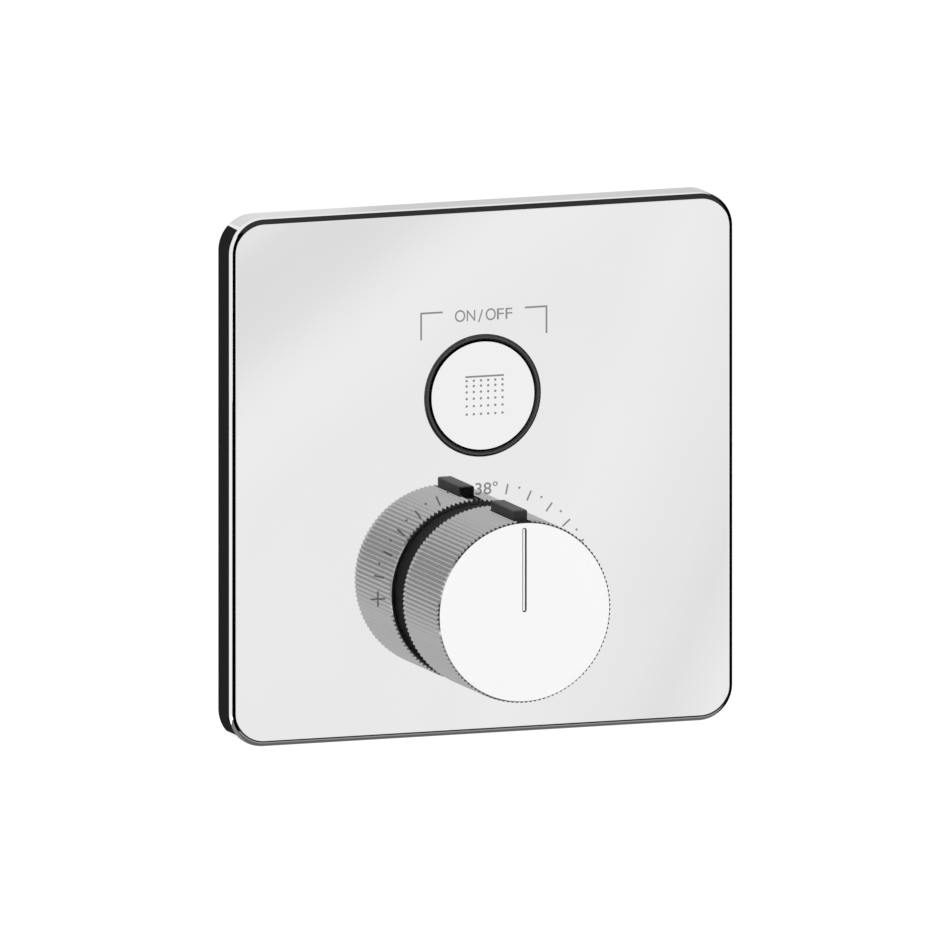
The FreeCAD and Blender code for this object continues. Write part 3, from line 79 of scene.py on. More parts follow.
def colour(name, description, code):
    """A setting for a colour, as an sRGB code."""
    return bpy.props.StringProperty(name=name, description=description, default=code)


class MixerPlate(bpy.types.PropertyGroup):
    """Sizes of the cover plate that its box in the frame doesn't give."""
    corner_radius: length("Corner radius", "Radius of the four corners of the plate", 10.0)
    edge_round: length("Edge round", "Radius of the round along the front edge", 1.9)
    wall: length("Wall", "Thickness of the plate", 2.0)
    button_hole: length("Button hole", "Radius of the hole for the ring of the button", 17.4)
    knob_hole: length("Knob hole", "Radius of the hole behind the knob", 20.8)
    peg_radius: length("Peg radius", "Radius of the four pegs behind the plate", 2.5)
    peg_inset: length("Peg inset", "Distance of the pegs from the edges of the plate", 19.0)
    peg_end: length("Peg end", "Distance of the ends of the pegs from the wall", 1.2)


class MixerPrint(bpy.types.PropertyGroup):
    """Sizes of the printed marks."""
    film: length("Film", "Thickness of the ink", 0.02)
    line_width: length("Line width", "Width of the printed lines", 0.52)
    letter_height: length("Letter height", "Height of the capitals above the button", 3.1)
    letter_foot: length(
        "Letter foot", "Height of the foot of the capitals above the middle of the plate", 42.5)
    bracket_aside: length(
        "Bracket aside", "Distance of the brackets to the right of the middle of the plate", 0.4)
    bracket_half: length("Bracket half", "Half of the width between the two brackets", 18.67)
    bracket_top: length(
        "Bracket top", "Height of the brackets above the middle of the plate", 45.68)
    bracket_drop: length("Bracket drop", "Length of the upright lines of the brackets", 7.88)
    bracket_arm: length("Bracket arm", "Length of the level lines of the brackets", 6.2)
    scale_drop: length(
        "Scale drop", "Distance of the middle of the scale below the axis of the knob", 2.5)
    scale_aside: length(
        "Scale aside", "Distance of the middle of the scale to the right of the axis", 0.34)
    scale_radius: length("Scale radius", "Radius of the middle of the scale lines", 32.44)
    scale_line: length("Scale line", "Length of the scale lines", 3.0)
    scale_dot_radius: length("Scale dot circle", "Radius of the circle of the dots", 33.6)
    scale_step: angle("Scale step", "Angle from one scale line to the next", 12.33)
    scale_count: count("Scale lines", "Scale lines on each side", 6)
    sign_width: length("Sign width", "Width of the plus and minus signs", 4.4)
    sign_reach: length("Sign reach", "Distance of the signs from the middle of the scale", 31.5)
    sign_rise: length("Sign rise", "Height of the signs above the axis of the knob", 0.15)
    dot: length("Dot", "Diameter of the dots of the scale", 0.69)
    number_height: length("Number height", "Height of the figures at the top of the scale", 3.5)
    number_span: length("Number span", "Width of the figures at the top of the scale", 6.7)
    number_foot: length(
        "Number foot", "Height of the foot of the figures above the axis of the knob", 28.1)
    number_aside: length(
        "Number aside", "Distance of the figures to the right of the axis of the knob", 1.2)


class MixerSign(bpy.types.PropertyGroup):
    """Sizes of the shower sign on the button."""
    aside: length("Aside", "Distance of the sign to the right of the middle of the button", 0.48)
    bar: length("Bar", "Length of the bar at the top of the sign", 11.5)
    bar_rise: length("Bar rise", "Height of the bar above the middle of the button", 5.5)
    first_row: length("First row", "Distance of the first row of drops below the bar", 1.15)
    row_step: length("Row step", "Distance from the first row of drops to the second", 1.5)
    row_growth: length("Row growth", "Growth of the distance from each row to the next", 0.2)
    column_step: length("Column step", "Distance between the columns of drops", 2.134)
    drop: length("Drop", "Diameter of the drops", 0.72)
    rows: count("Rows", "Rows of drops", 6)
    columns: count("Columns", "Columns of drops", 6)


class MixerFittings(bpy.types.PropertyGroup):
    """Sizes of the pipe threads and of the crosses in the screws."""
    thread_pitch: length("Thread pitch", "Pitch of the half-inch pipe thread", 1.814)
    thread_mouth: length("Thread mouth", "Radius at the crests of the thread", 9.25)
    thread_root: length("Thread root", "Radius at the bottom of the thread", 10.4)
    thread_half: length("Thread half", "Half of the width of the groove at the crests", 0.82)
    thread_depth: length("Thread depth", "Depth of the thread from the mouth of a union", 11.5)
    cross_span: length("Cross span", "Span of the cross in the head of a screw", 4.0)
    cross_width: length("Cross width", "Width of the arms of the cross", 0.9)
    cross_depth: length("Cross depth", "Depth of the cross", 1.3)


class MixerColours(bpy.types.PropertyGroup):
    """Colours of the finishes, as sRGB codes."""
    chrome: colour("Chrome", "Polished chrome of the plate", "#EAEAEA")
    # The cap is a lighter chrome than the plate: painted light. The cap edge is painted shade, for
    # the shadow in the gap round the button.
    cap: colour("Cap", "Polished chrome of the button", "#F0F0F0")
    painted_cap_edge_shade: colour("Cap edge", "Shaded chrome round the edge of the button", "#1C1C1C")
    # The knob face is a lighter chrome than the plate: painted light. The knurl's darker grey is
    # partly painted shade.
    knob_face: colour("Knob face", "Fine-turned chrome on the front of the knob", "#FAFAFA")
    knurl: colour("Knurl", "Chrome on the teeth of the knob", "#D2D2D2")
    mark: colour("Mark", "Chrome darkened where it is marked", "#8E8E8E")
    black: colour("Black plastic", "Moulded plastic of the ring round the button", "#1B1B1C")
    tab: colour("Tab", "Grained plastic of the safety-stop tab", "#1E1E1F")
    collar: colour("Collar", "Moulded plastic of the collar behind the knob", "#0A0A0B")
    brass: colour("Brass", "Machined brass", "#C9A25C")
    cast: colour("Cast brass", "Sand-cast skin of the body in the wall", "#A8874F")
    copper: colour("Copper", "Copper of the wax element", "#B87350")
    rubber: colour("Rubber", "Rubber of the seals", "#222323")
    steel: colour("Steel", "Bare steel", "#B4B6B8")
    zinc: colour("Zinc", "Galvanised sheet", "#AEB4B8")
    white: colour("White plastic", "Moulded white plastic", "#E2E1DB")


class MixerStage(bpy.types.PropertyGroup):
    """Camera and studio."""
    azimuth: angle("Azimuth", "Direction of the camera, to the right of straight ahead", -20.0)
    elevation: angle("Elevation", "Height of the camera above level", 9.39)
    picture_width: length("Picture width", "Width that the picture covers", 263.16)
    aim_right: length("Aim right", "Distance of the aim to the right of the origin", 0.1)
    aim_up: length("Aim up", "Distance of the aim above the origin", -1.6)
    camera_distance: length("Camera distance", "Distance of the camera from the aim", 1500.0)
    card_distance: length("Card distance", "Distance of the cards from the origin", 600.0)
    floor_drop: length("Floor drop", "Distance of the floor below the origin", 750.0)
    floor_width: length("Floor width", "Width of the floor", 20000.0)
    lamp_azimuth: angle(
        "Lamp azimuth", "Direction of the lamp, to the right of straight ahead", -40.0)
    lamp_elevation: angle("Lamp elevation", "Height of the lamp above level", 84.0)
    lamp_distance: length("Lamp distance", "Distance of the lamp from the origin", 1000.0)
    lamp_size: length("Lamp size", "Width of the soft lamp", 800.0)
    lamp_power: bpy.props.FloatProperty(
        name="Lamp power", description="Power of the soft lamp", default=85.0, unit="POWER")


# Materials

WHITE = (1, 1, 1, 1)
NOISE_LOW, NOISE_HIGH = 0.3, 0.7      # most of a noise lies between these values
POLISH_CLOUD = 30 * MM                # size of the clouds in the mirror polish
POLISH_DIM = 0.985                    # light of the dullest polish, as a share of the best
POLISH_BEST, POLISH_WORST = 0.015, 0.03
# Facing mask: the front colour where the normal points out of the front, and the side colour
# elsewhere; on the button the side colour is painted shade
FRONT_START, FRONT_FULL = -0.95, -0.99  # y of the normal where a turned front starts and is full
TURNING_CLOUD = 4 * MM                # size of the clouds in the turned fronts
TURNING_WEAR = 0.2                    # roughness that they add, as a share
GRAIN_DETAIL = 4.0
GRAIN_SHINE = 0.08                    # roughness that a grain adds or takes
GRAIN_RELIEF = 0.6                    # strength of the relief of a grain
SPANGLE = 6 * MM                      # size of the crystals of zinc
SPANGLE_DIM = 0.78                    # light of the darkest crystal, as a share of the brightest
SPANGLE_BEST, SPANGLE_WORST = 0.3, 0.48


def linear(code):
    """The linear colour of an sRGB code, by the sRGB standard."""
    channels = [int(code[k:k + 2], 16) / 255 for k in (1, 3, 5)]
    return [c / 12.92 if c <= 0.04045 else ((c + 0.055) / 1.055) ** 2.4 for c in channels] + [1.0]


def shade(code, share):
    """A linear colour, made darker or lighter by a share."""
    return [c * share for c in linear(code)[:3]] + [1.0]


def add_node(tree, kind, inputs, stops=(), **settings):
    """A new node: inputs are values or the sockets that feed them, stops the colours of a ramp."""
    node = tree.nodes.new(kind)
    for key, value in settings.items():
        setattr(node, key, value)
    for key, value in inputs.items():
        if isinstance(value, bpy.types.NodeSocket):
            tree.links.new(value, node.inputs[key])
        else:
            node.inputs[key].default_value = value
    elements = node.color_ramp.elements if stops else ()
    for k, (place, tone) in enumerate(stops):
        element = elements[k] if k < 2 else elements.new(place)
        element.position = place
        element.color = tone
    return node


def new_material(name):
    """A new material, its tree of nodes and its shader."""
    material = bpy.data.materials.new(name)
    material.use_nodes = True
    tree = material.node_tree
    return material, tree, tree.nodes["Principled BSDF"]


def mirror_chrome(name, code):
    """Polished chrome: a clear mirror, with a faint cloud where the polish differs."""
    material, tree, shader = new_material(name)
    place = add_node(tree, "ShaderNodeTexCoord", {})
    cloud = add_node(tree, "ShaderNodeTexNoise",
                     {"Vector": place.outputs["Object"], "Scale": 1 / POLISH_CLOUD})
    tone = add_node(tree, "ShaderNodeValToRGB", {"Fac": cloud.outputs["Fac"]},
                    [(NOISE_LOW, shade(code, POLISH_DIM)), (NOISE_HIGH, linear(code))])
    polish = add_node(tree, "ShaderNodeMapRange",
                      {"Value": cloud.outputs["Fac"], "To Min": POLISH_BEST,
                       "To Max": POLISH_WORST})
    shader.inputs["Metallic"].default_value = 1.0
    tree.links.new(tone.outputs["Color"], shader.inputs["Base Color"])
    tree.links.new(polish.outputs["Result"], shader.inputs["Roughness"])
    return material


def turned_chrome(name, face_code, side_code, face_rough, side_rough):
    """Chrome with a bright, finely turned front and darker sides, coloured by the way each faces,
    so that the two colours carry painted light and shade; its shine is a little uneven.
    """
    material, tree, shader = new_material(name)
    surface = add_node(tree, "ShaderNodeNewGeometry", {})
    facing = add_node(tree, "ShaderNodeSeparateXYZ", {"Vector": surface.outputs["Normal"]})
    front = add_node(tree, "ShaderNodeMapRange",
                     {"Value": facing.outputs["Y"], "From Min": FRONT_START,
                      "From Max": FRONT_FULL})
    place = add_node(tree, "ShaderNodeTexCoord", {})
    cloud = add_node(tree, "ShaderNodeTexNoise",
                     {"Vector": place.outputs["Object"], "Scale": 1 / TURNING_CLOUD})
    worn = add_node(tree, "ShaderNodeMath",
                    {0: cloud.outputs["Fac"], 1: TURNING_WEAR * face_rough}, operation="MULTIPLY")
    tone = add_node(tree, "ShaderNodeValToRGB", {"Fac": front.outputs["Result"]},
                    [(0.0, linear(side_code)), (1.0, linear(face_code))])
    finish = add_node(tree, "ShaderNodeMapRange",
                      {"Value": front.outputs["Result"], "To Min": side_rough,
                       "To Max": face_rough})
    rough = add_node(tree, "ShaderNodeMath",
                     {0: finish.outputs["Result"], 1: worn.outputs["Value"]})
    shader.inputs["Metallic"].default_value = 1.0
    tree.links.new(tone.outputs["Color"], shader.inputs["Base Color"])
    tree.links.new(rough.outputs["Value"], shader.inputs["Roughness"])
    return material


def grained(name, code, spread, rough, grain, depth, metallic, gloss=0.5):
    """A fine-grained finish: colour and shine vary with the grain, which stands up by its depth."""
    material, tree, shader = new_material(name)
    place = add_node(tree, "ShaderNodeTexCoord", {})
    noise = add_node(tree, "ShaderNodeTexNoise",
                     {"Vector": place.outputs["Object"], "Scale": 1 / grain,
                      "Detail": GRAIN_DETAIL})
    tone = add_node(tree, "ShaderNodeValToRGB", {"Fac": noise.outputs["Fac"]},
                    [(NOISE_LOW, shade(code, 1 - spread)), (NOISE_HIGH, shade(code, 1 + spread))])
    shine = add_node(tree, "ShaderNodeMapRange",
                     {"Value": noise.outputs["Fac"], "To Min": rough - GRAIN_SHINE,
                      "To Max": rough + GRAIN_SHINE})
    relief = add_node(tree, "ShaderNodeBump",
                      {"Height": noise.outputs["Fac"], "Distance": depth, "Strength": GRAIN_RELIEF})
    shader.inputs["Metallic"].default_value = metallic
    shader.inputs["Specular IOR Level"].default_value = gloss
    tree.links.new(tone.outputs["Color"], shader.inputs["Base Color"])
    tree.links.new(shine.outputs["Result"], shader.inputs["Roughness"])
    tree.links.new(relief.outputs["Normal"], shader.inputs["Normal"])
    return material


def spangled_zinc(name, code):
    """Galvanised sheet: flat crystals of zinc, each with its own grey and shine."""
    material, tree, shader = new_material(name)
    place = add_node(tree, "ShaderNodeTexCoord", {})
    crystal = add_node(tree, "ShaderNodeTexVoronoi",
                       {"Vector": place.outputs["Object"], "Scale": 1 / SPANGLE})
    level = add_node(tree, "ShaderNodeSeparateColor", {"Color": crystal.outputs["Color"]})
    tone = add_node(tree, "ShaderNodeValToRGB", {"Fac": level.outputs["Red"]},
                    [(0.0, shade(code, SPANGLE_DIM)), (1.0, linear(code))])
    shine = add_node(tree, "ShaderNodeMapRange",
                     {"Value": level.outputs["Green"], "To Min": SPANGLE_BEST,
                      "To Max": SPANGLE_WORST})
    shader.inputs["Metallic"].default_value = 1.0
    tree.links.new(tone.outputs["Color"], shader.inputs["Base Color"])
    tree.links.new(shine.outputs["Result"], shader.inputs["Roughness"])
    return material


def make_finishes(colours):
    """A material for each slot of the record, and for the pieces that differ from their slot."""
    return {
        "chrome": mirror_chrome("mirror_chrome", colours.chrome),
        # Polished on the front, in a chrome lighter than the plate's as painted light; the narrow
        # edge is painted dark, as painted shade where its ring shades it
        "button_cap": turned_chrome("bright_chrome", colours.cap, colours.painted_cap_edge_shade,
                                    face_rough=0.02, side_rough=0.25),
        # Satin from fine turning: reflections are soft; the front is a lighter chrome than the
        # plate, as painted light, and the teeth a darker grey, partly painted shade
        "knob_shell": turned_chrome("knurled_chrome", colours.knob_face, colours.knurl,
                                    face_rough=0.16, side_rough=0.14),
        # Chrome darkened by marking: grey, and a little duller than the plate
        "mark": grained("marked_chrome", colours.mark, spread=0.04, rough=0.1,
                        grain=0.5 * MM, depth=0.0005 * MM, metallic=1.0),
        # Moulded plastic: black with a soft sheen
        "black_plastic": grained("black_moulded_plastic", colours.black, spread=0.25, rough=0.38,
                                 grain=0.35 * MM, depth=0.01 * MM, metallic=0.0),
        # Plastic from a polished mould: black with a clear gleam
        "button_bezel": grained("glossy_plastic", colours.black, spread=0.2, rough=0.16,
                                grain=0.8 * MM, depth=0.002 * MM, metallic=0.0, gloss=0.6),
        # Plastic from a grained mould: matt black, with a grip for the thumb
        "stop_button": grained("grained_plastic", colours.tab, spread=0.4, rough=0.5,
                               grain=0.25 * MM, depth=0.03 * MM, metallic=0.0, gloss=0.35),
        # Moulded plastic behind the knob: deep black, with hardly any sheen
        "base_collar": grained("collar_plastic", colours.collar, spread=0.2, rough=0.45,
                               grain=0.35 * MM, depth=0.01 * MM, metallic=0.0, gloss=0.05),
        # Turned brass: yellow with a soft shine
        "brass": grained("machined_brass", colours.brass, spread=0.06, rough=0.24,
                         grain=1.5 * MM, depth=0.004 * MM, metallic=1.0),
        # Brass cast in sand, which leaves a dull, rough skin
        "valve_body": grained("sand_cast_brass", colours.cast, spread=0.16, rough=0.5,
                              grain=0.9 * MM, depth=0.08 * MM, metallic=1.0),
        # Drawn copper: reddish with a soft shine
        "copper": grained("drawn_copper", colours.copper, spread=0.08, rough=0.3,
                          grain=2.0 * MM, depth=0.004 * MM, metallic=1.0),
        # Moulded rubber: black and dull
        "rubber": grained("seal_rubber", colours.rubber, spread=0.12, rough=0.7,
                          grain=0.4 * MM, depth=0.01 * MM, metallic=0.0),
        # Bare steel: an even grey shine
        "steel": grained("bare_steel", colours.steel, spread=0.08, rough=0.28,
                         grain=1.2 * MM, depth=0.001 * MM, metallic=1.0),
        "zinc_sheet": spangled_zinc("galvanised_sheet", colours.zinc),
        # Moulded plastic: off-white with a soft sheen
        "white_plastic": grained("white_moulded_plastic", colours.white, spread=0.03, rough=0.42,
                                 grain=0.6 * MM, depth=0.006 * MM, metallic=0.0),
    }


# Modelling

TOUCH = 0.001 * MM                    # corners closer than this are one corner
CORNER_SEGMENTS = 20
ROUND_SEGMENTS = 12
PEG_SEGMENTS = 3
PEG_ROUND = 0.2                       # radius of the round of a peg, as a share of the peg's
HOLE_SIDES = 160
PEG_SIDES = 32
DOT_SIDES = 20
THREAD_STEPS = 60                     # steps in a turn of the thread
PLATE_SMOOTH = 40                     # in degrees: edges up to this angle are shaded smooth
CUT_SMOOTH = 14
LETTER_SWELL = 0.002                  # widening of the strokes, as a share of the type size
NUMBER_SWELL = 0.008


def select_only(piece):
    """Select one piece and make it the active one."""
    bpy.ops.object.select_all(action="DESELECT")
    piece.select_set(True)
    bpy.context.view_layer.objects.active = piece


def settle(piece):
    """Put the place, turn and size of a piece into its mesh."""
    select_only(piece)
    bpy.ops.object.transform_apply(location=True, rotation=True, scale=True)
    return piece


def add_block(centre, size, turn=0.0):
    """A block, turned about the axis toward the user."""
    bpy.ops.object.select_all(action="DESELECT")
    bpy.ops.mesh.primitive_cube_add(size=1, location=centre, rotation=(0, turn, 0), scale=size)
    return settle(bpy.context.object)


def add_disc(centre, radius, depth, sides):
    """A short cylinder along the axis toward the user."""
    bpy.ops.object.select_all(action="DESELECT")
    bpy.ops.mesh.primitive_cylinder_add(vertices=sides, radius=radius, depth=depth,
                                        location=centre, rotation=(math.pi / 2, 0, 0))
    return settle(bpy.context.object)


def pick(piece, part, test):
    """Go to edit mode with only the edges or faces that pass the test selected."""
    select_only(piece)
    bpy.ops.object.mode_set(mode="EDIT")
    bpy.ops.mesh.select_mode(type="EDGE" if part == "edges" else "FACE")
    bpy.ops.mesh.select_all(action="DESELECT")
    mesh = bmesh.from_edit_mesh(piece.data)
    for item in getattr(mesh, part):
        if test([corner.co for corner in item.verts]):
            item.select_set(True)
    bmesh.update_edit_mesh(piece.data)


def leave_edit():
    """Go back to object mode."""
    bpy.ops.object.mode_set(mode="OBJECT")


def join(pieces):
    """One piece from several, in the place of the first."""
    bpy.ops.object.select_all(action="DESELECT")
    for piece in pieces:
        piece.select_set(True)
    bpy.context.view_layer.objects.active = pieces[0]
    bpy.ops.object.join()
    return pieces[0]


def bore(piece, cutter):
    """Cut the cutter out of a piece, and remove the cutter."""
    select_only(piece)
    cut = piece.modifiers.new("bore", "BOOLEAN")
    cut.operation = "DIFFERENCE"
    cut.solver = "EXACT"
    cut.object = cutter
    bpy.ops.object.modifier_apply(modifier=cut.name)
    bpy.data.objects.remove(cutter)


def smooth(piece, degrees):
    """Shade the curves of a piece smooth, and keep its flat faces flat and its corners sharp."""
    select_only(piece)
    bpy.ops.object.shade_smooth_by_angle(angle=math.radians(degrees))
    flatten = piece.modifiers.new("flat_faces", "WEIGHTED_NORMAL")
    flatten.keep_sharp = True
    bpy.ops.object.modifier_apply(modifier=flatten.name)


def weld(piece):
    """Merge the doubled corners of a piece, and remove those on no face."""
    select_only(piece)
    bpy.ops.object.mode_set(mode="EDIT")
    bpy.ops.mesh.select_mode(type="VERT")
    bpy.ops.mesh.select_all(action="SELECT")
    bpy.ops.mesh.remove_doubles(threshold=TOUCH)
    bpy.ops.mesh.delete_loose()
    leave_edit()
    return piece


def copy_node(node):
    """A new piece with the shape of a piece of the frame."""
    piece = bpy.data.objects.new(node, frame["nodes"][node].data.copy())
    bpy.context.scene.collection.objects.link(piece)
    return weld(piece)


def hand_over(piece, name, finish, body):
    """Name a finished piece, paint it and let it move with a body."""
    piece.name = name
    piece.data.name = name
    piece.data.materials.clear()
    piece.data.materials.append(finish)
    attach(piece, body)


def near(a, b):
    """True where two places along an axis are the same."""
    return abs(a - b) < TOUCH


finishes = {}


class MIXER_OT_finishes(bpy.types.Operator):
    """Give each piece of the frame its finish."""
    bl_idname = "mixer.finishes"
    bl_label = "Finishes"

    def execute(self, context):
        finishes.update(make_finishes(context.scene.mixer_colours))
        for part in frame["record"]["subparts"]:
            finish = finishes.get(part["node"], finishes[part["material_slot"]])
            frame["nodes"][part["node"]].material_slots[0].material = finish
        return {"FINISHED"}


class MIXER_OT_cover_plate(bpy.types.Operator):
    """Model the cover plate with smooth edges, its two holes and its pegs."""
    bl_idname = "mixer.cover_plate"
    bl_label = "Cover plate"

    def shell(self, plate, low, high):
        """The plate without holes: a block with rounded corners and front edge, open behind."""
        cover = add_block((low + high) / 2, high - low)
        pick(cover, "edges",
             lambda ends: near(ends[0].x, ends[1].x) and near(ends[0].z, ends[1].z))
        bpy.ops.mesh.bevel(offset=plate.corner_radius, segments=CORNER_SEGMENTS, affect="EDGES")
        leave_edit()
        pick(cover, "edges", lambda ends: all(near(end.y, low.y) for end in ends))
        bpy.ops.mesh.bevel(offset=plate.edge_round, segments=ROUND_SEGMENTS, affect="EDGES")
        leave_edit()
        pick(cover, "faces", lambda ends: all(near(end.y, high.y) for end in ends))
        bpy.ops.mesh.inset(thickness=plate.wall)
        hollow = low.y + plate.wall - high.y
        bpy.ops.mesh.extrude_region_move(TRANSFORM_OT_translate={"value": (0, hollow, 0)})
        leave_edit()
        return cover

    def peg(self, plate, x, z, back):
        """A peg behind the plate, with a rounded end."""
        depth = -plate.peg_end - back
        peg = add_disc((x, back + depth / 2, z), plate.peg_radius, depth, PEG_SIDES)
        pick(peg, "edges", lambda ends: all(near(end.y, -plate.peg_end) for end in ends))
        bpy.ops.mesh.bevel(offset=PEG_ROUND * plate.peg_radius, segments=PEG_SEGMENTS,
                           affect="EDGES")
        leave_edit()
        return peg

    def execute(self, context):
        plate = context.scene.mixer_plate
        low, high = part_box("faceplate")
        cover = self.shell(plate, low, high)
        through = 4 * plate.wall  # half of it lies in front of the plate
        for node, radius in (("button_cap", plate.button_hole), ("knob_shell", plate.knob_hole)):
            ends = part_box(node)
            middle = Vector(((ends[0].x + ends[1].x) / 2, low.y, (ends[0].z + ends[1].z) / 2))
            bore(cover, add_disc(middle, radius, through, HOLE_SIDES))
        reach = high.x - plate.peg_inset
        pegs = [self.peg(plate, x, z, low.y + plate.wall) for x, z in
                ((reach, reach), (-reach, reach), (-reach, -reach), (reach, -reach))]
        cover = join([cover] + pegs)
        smooth(cover, PLATE_SMOOTH)
        hand_over(cover, "cover_plate", finishes["chrome"], "mixer_body")
        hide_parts("faceplate")
        return {"FINISHED"}


def ink_line(x, y, z, width, height, film, turn=0.0):
    """A printed line standing on the surface at y."""
    return add_block((x, y - film / 2, z), (width, film, height), turn)


def ink_dot(x, y, z, diameter, film):
    """A printed dot standing on the surface at y."""
    return add_disc((x, y - film / 2, z), diameter / 2, film, DOT_SIDES)


def ink_text(words, x, y, z, height, film, span, swell):
    """Printed words with the middle of their foot at x and z, and strokes widened by the swell."""
    bpy.ops.object.select_all(action="DESELECT")
    bpy.ops.object.text_add(rotation=(math.pi / 2, 0, 0))
    text = bpy.context.object
    text.data.body = words
    text.data.extrude = film / 2
    text.data.offset = swell
    bpy.ops.object.convert(target="MESH")
    piece = weld(settle(bpy.context.object))
    corners = [corner.co for corner in piece.data.vertices]
    left = min(corner.x for corner in corners)
    right = max(corner.x for corner in corners)
    tall = max(corner.z for corner in corners)
    widen = span / (right - left)
    piece.scale = (widen, 1, height / tall)
    piece.location = (x - widen * (left + right) / 2, y - film / 2, z)
    return settle(piece)


def print_on(marks, name, body):
    """Join printed marks into one piece, which is kept out of the reflections in the knob."""
    ink = join(marks)
    ink.visible_glossy = False
    hand_over(ink, name, finishes["mark"], body)


# The letters above the button: place to the right, width, and reach below the foot and above
# the top of the straight letters, in mm
LETTERS = (
    ("O", -6.67, 3.1, 0.08, 0.16),
    ("N", -3.42, 2.55, 0, 0),
    ("/", -0.56, 1.55, 0.4, 0),
    ("O", 2.46, 3.02, 0.08, 0.16),
    ("F", 5.34, 2.06, 0, 0),
    ("F", 7.87, 2.0, 0, 0),
)


class MIXER_OT_plate_print(bpy.types.Operator):
    """Print the word, the brackets and the scale on the cover plate."""
    bl_idname = "mixer.plate_print"
    bl_label = "Plate print"

    def word(self, marks, front):
        """The word above the button, letter by letter."""
        letters = []
        for letter, x, span, under, over in LETTERS:
            foot = marks.letter_foot - under * MM
            tall = marks.letter_height + (under + over) * MM
            letters.append(ink_text(letter, x * MM, front, foot, tall, marks.film, span * MM,
                                    LETTER_SWELL))
        return letters

    def brackets(self, marks, front):
        """The two brackets round the word, each of an upright and a level line."""
        line = marks.line_width
        upright = marks.bracket_top - marks.bracket_drop / 2
        top = marks.bracket_top - line / 2
        brackets = []
        for side in (-1, 1):
            x = marks.bracket_aside + side * marks.bracket_half
            level = x - side * (marks.bracket_arm + line) / 2
            brackets.append(ink_line(x, front, upright, line, marks.bracket_drop, marks.film))
            brackets.append(ink_line(level, front, top, marks.bracket_arm, line, marks.film))
        return brackets

    def scale(self, marks, front, axis):
        """The scale round the knob: lines with dots between them, a plus and a minus."""
        film = marks.film
        line = marks.line_width
        middle = axis - marks.scale_drop
        sign = axis + marks.sign_rise
        scale = []
        for side in (-1, 1):
            for k in range(1, marks.scale_count + 1):
                turn = side * k * marks.scale_step
                x = marks.scale_aside + marks.scale_radius * math.sin(turn)
                z = middle + marks.scale_radius * math.cos(turn)
                scale.append(ink_line(x, front, z, line, marks.scale_line, film, turn))
                if k == marks.scale_count:
                    break
                turn += side * marks.scale_step / 2
                x = marks.scale_aside + marks.scale_dot_radius * math.sin(turn)
                z = middle + marks.scale_dot_radius * math.cos(turn)
                scale.append(ink_dot(x, front, z, marks.dot, film))
            x = marks.scale_aside + side * marks.sign_reach
            scale.append(ink_line(x, front, sign, marks.sign_width, line, film))
        x = marks.scale_aside - marks.sign_reach
        scale.append(ink_line(x, front, sign, line, marks.sign_width, film))
        return scale

    def execute(self, context):
        marks = context.scene.mixer_print
        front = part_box("faceplate")[0].y
        low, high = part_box("knob_shell")
        axis = (low.z + high.z) / 2
        print_on(self.word(marks, front), "word_print", "mixer_body")
        print_on(self.brackets(marks, front), "bracket_print", "mixer_body")
        print_on(self.scale(marks, front, axis), "scale_print", "mixer_body")
        number = ink_text("38°", marks.number_aside, front, axis + marks.number_foot,
                          marks.number_height, marks.film, marks.number_span, NUMBER_SWELL)
        print_on([number], "number_print", "mixer_body")
        return {"FINISHED"}


class MIXER_OT_button_sign(bpy.types.Operator):
    """Print the shower sign on the button: a bar with rows of drops under it."""
    bl_idname = "mixer.button_sign"
    bl_label = "Button sign"

    def execute(self, context):
        sign = context.scene.mixer_sign
        marks = context.scene.mixer_print
        low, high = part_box("button_cap")
        bar = (low.z + high.z) / 2 + sign.bar_rise
        pieces = [ink_line(sign.aside, low.y, bar, sign.bar, marks.line_width, marks.film)]
        first = sign.aside - (sign.columns - 1) * sign.column_step / 2
        z = bar - sign.first_row
        for row in range(sign.rows):
            for column in range(sign.columns):
                x = first + column * sign.column_step
                pieces.append(ink_dot(x, low.y, z, sign.drop, marks.film))
            z -= sign.row_step + row * sign.row_growth
        print_on(pieces, "shower_sign", "on_off_button")
        return {"FINISHED"}


# The unions, and the ways that their mouths face
UNIONS = (
    ("inlet_union_hot", Vector((-1, 0, 0))),
    ("inlet_union_cold", Vector((1, 0, 0))),
    ("outlet_union", Vector((0, 0, 1))),
)


class MIXER_OT_unions(bpy.types.Operator):
    """Cut the pipe thread in the mouths of the three unions."""
    bl_idname = "mixer.unions"
    bl_label = "Unions"

    def groove(self, fittings):
        """The space of a thread, as a triangle wound up the upright axis."""
        places = ((fittings.thread_mouth, -fittings.thread_half), (fittings.thread_root, 0.0),
                  (fittings.thread_mouth, fittings.thread_half))
        bpy.ops.object.select_all(action="DESELECT")
        bpy.ops.mesh.primitive_circle_add(vertices=len(places))
        groove = bpy.context.object
        for corner, (x, z) in zip(groove.data.vertices, places):
            corner.co = (x, 0, z)
        winding = groove.modifiers.new("winding", "SCREW")
        winding.screw_offset = fittings.thread_pitch
        # One turn more than the depth, so that the thread runs out of the mouth
        winding.iterations = math.ceil(fittings.thread_depth / fittings.thread_pitch) + 1
        winding.steps = winding.render_steps = THREAD_STEPS
        bpy.ops.object.modifier_apply(modifier=winding.name)
        pick(groove, "faces", lambda ends: True)
        bpy.ops.mesh.fill_holes(sides=len(places))
        bpy.ops.mesh.normals_make_consistent(inside=False)
        leave_edit()
        return groove

    def execute(self, context):
        fittings = context.scene.mixer_fittings
        for node, way in UNIONS:
            low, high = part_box(node)
            span = (high - low).dot(Vector([abs(part) for part in way]))
            mouth = (low + high) / 2 + way * span / 2
            groove = self.groove(fittings)
            groove.rotation_euler = way.to_track_quat("Z", "Y").to_euler()
            groove.location = mouth - way * fittings.thread_depth
            union = copy_node(node)
            bore(union, settle(groove))
            smooth(union, CUT_SMOOTH)
            hand_over(union, "threaded_" + node, finishes["brass"], "mixer_body")
            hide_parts(node)
        return {"FINISHED"}


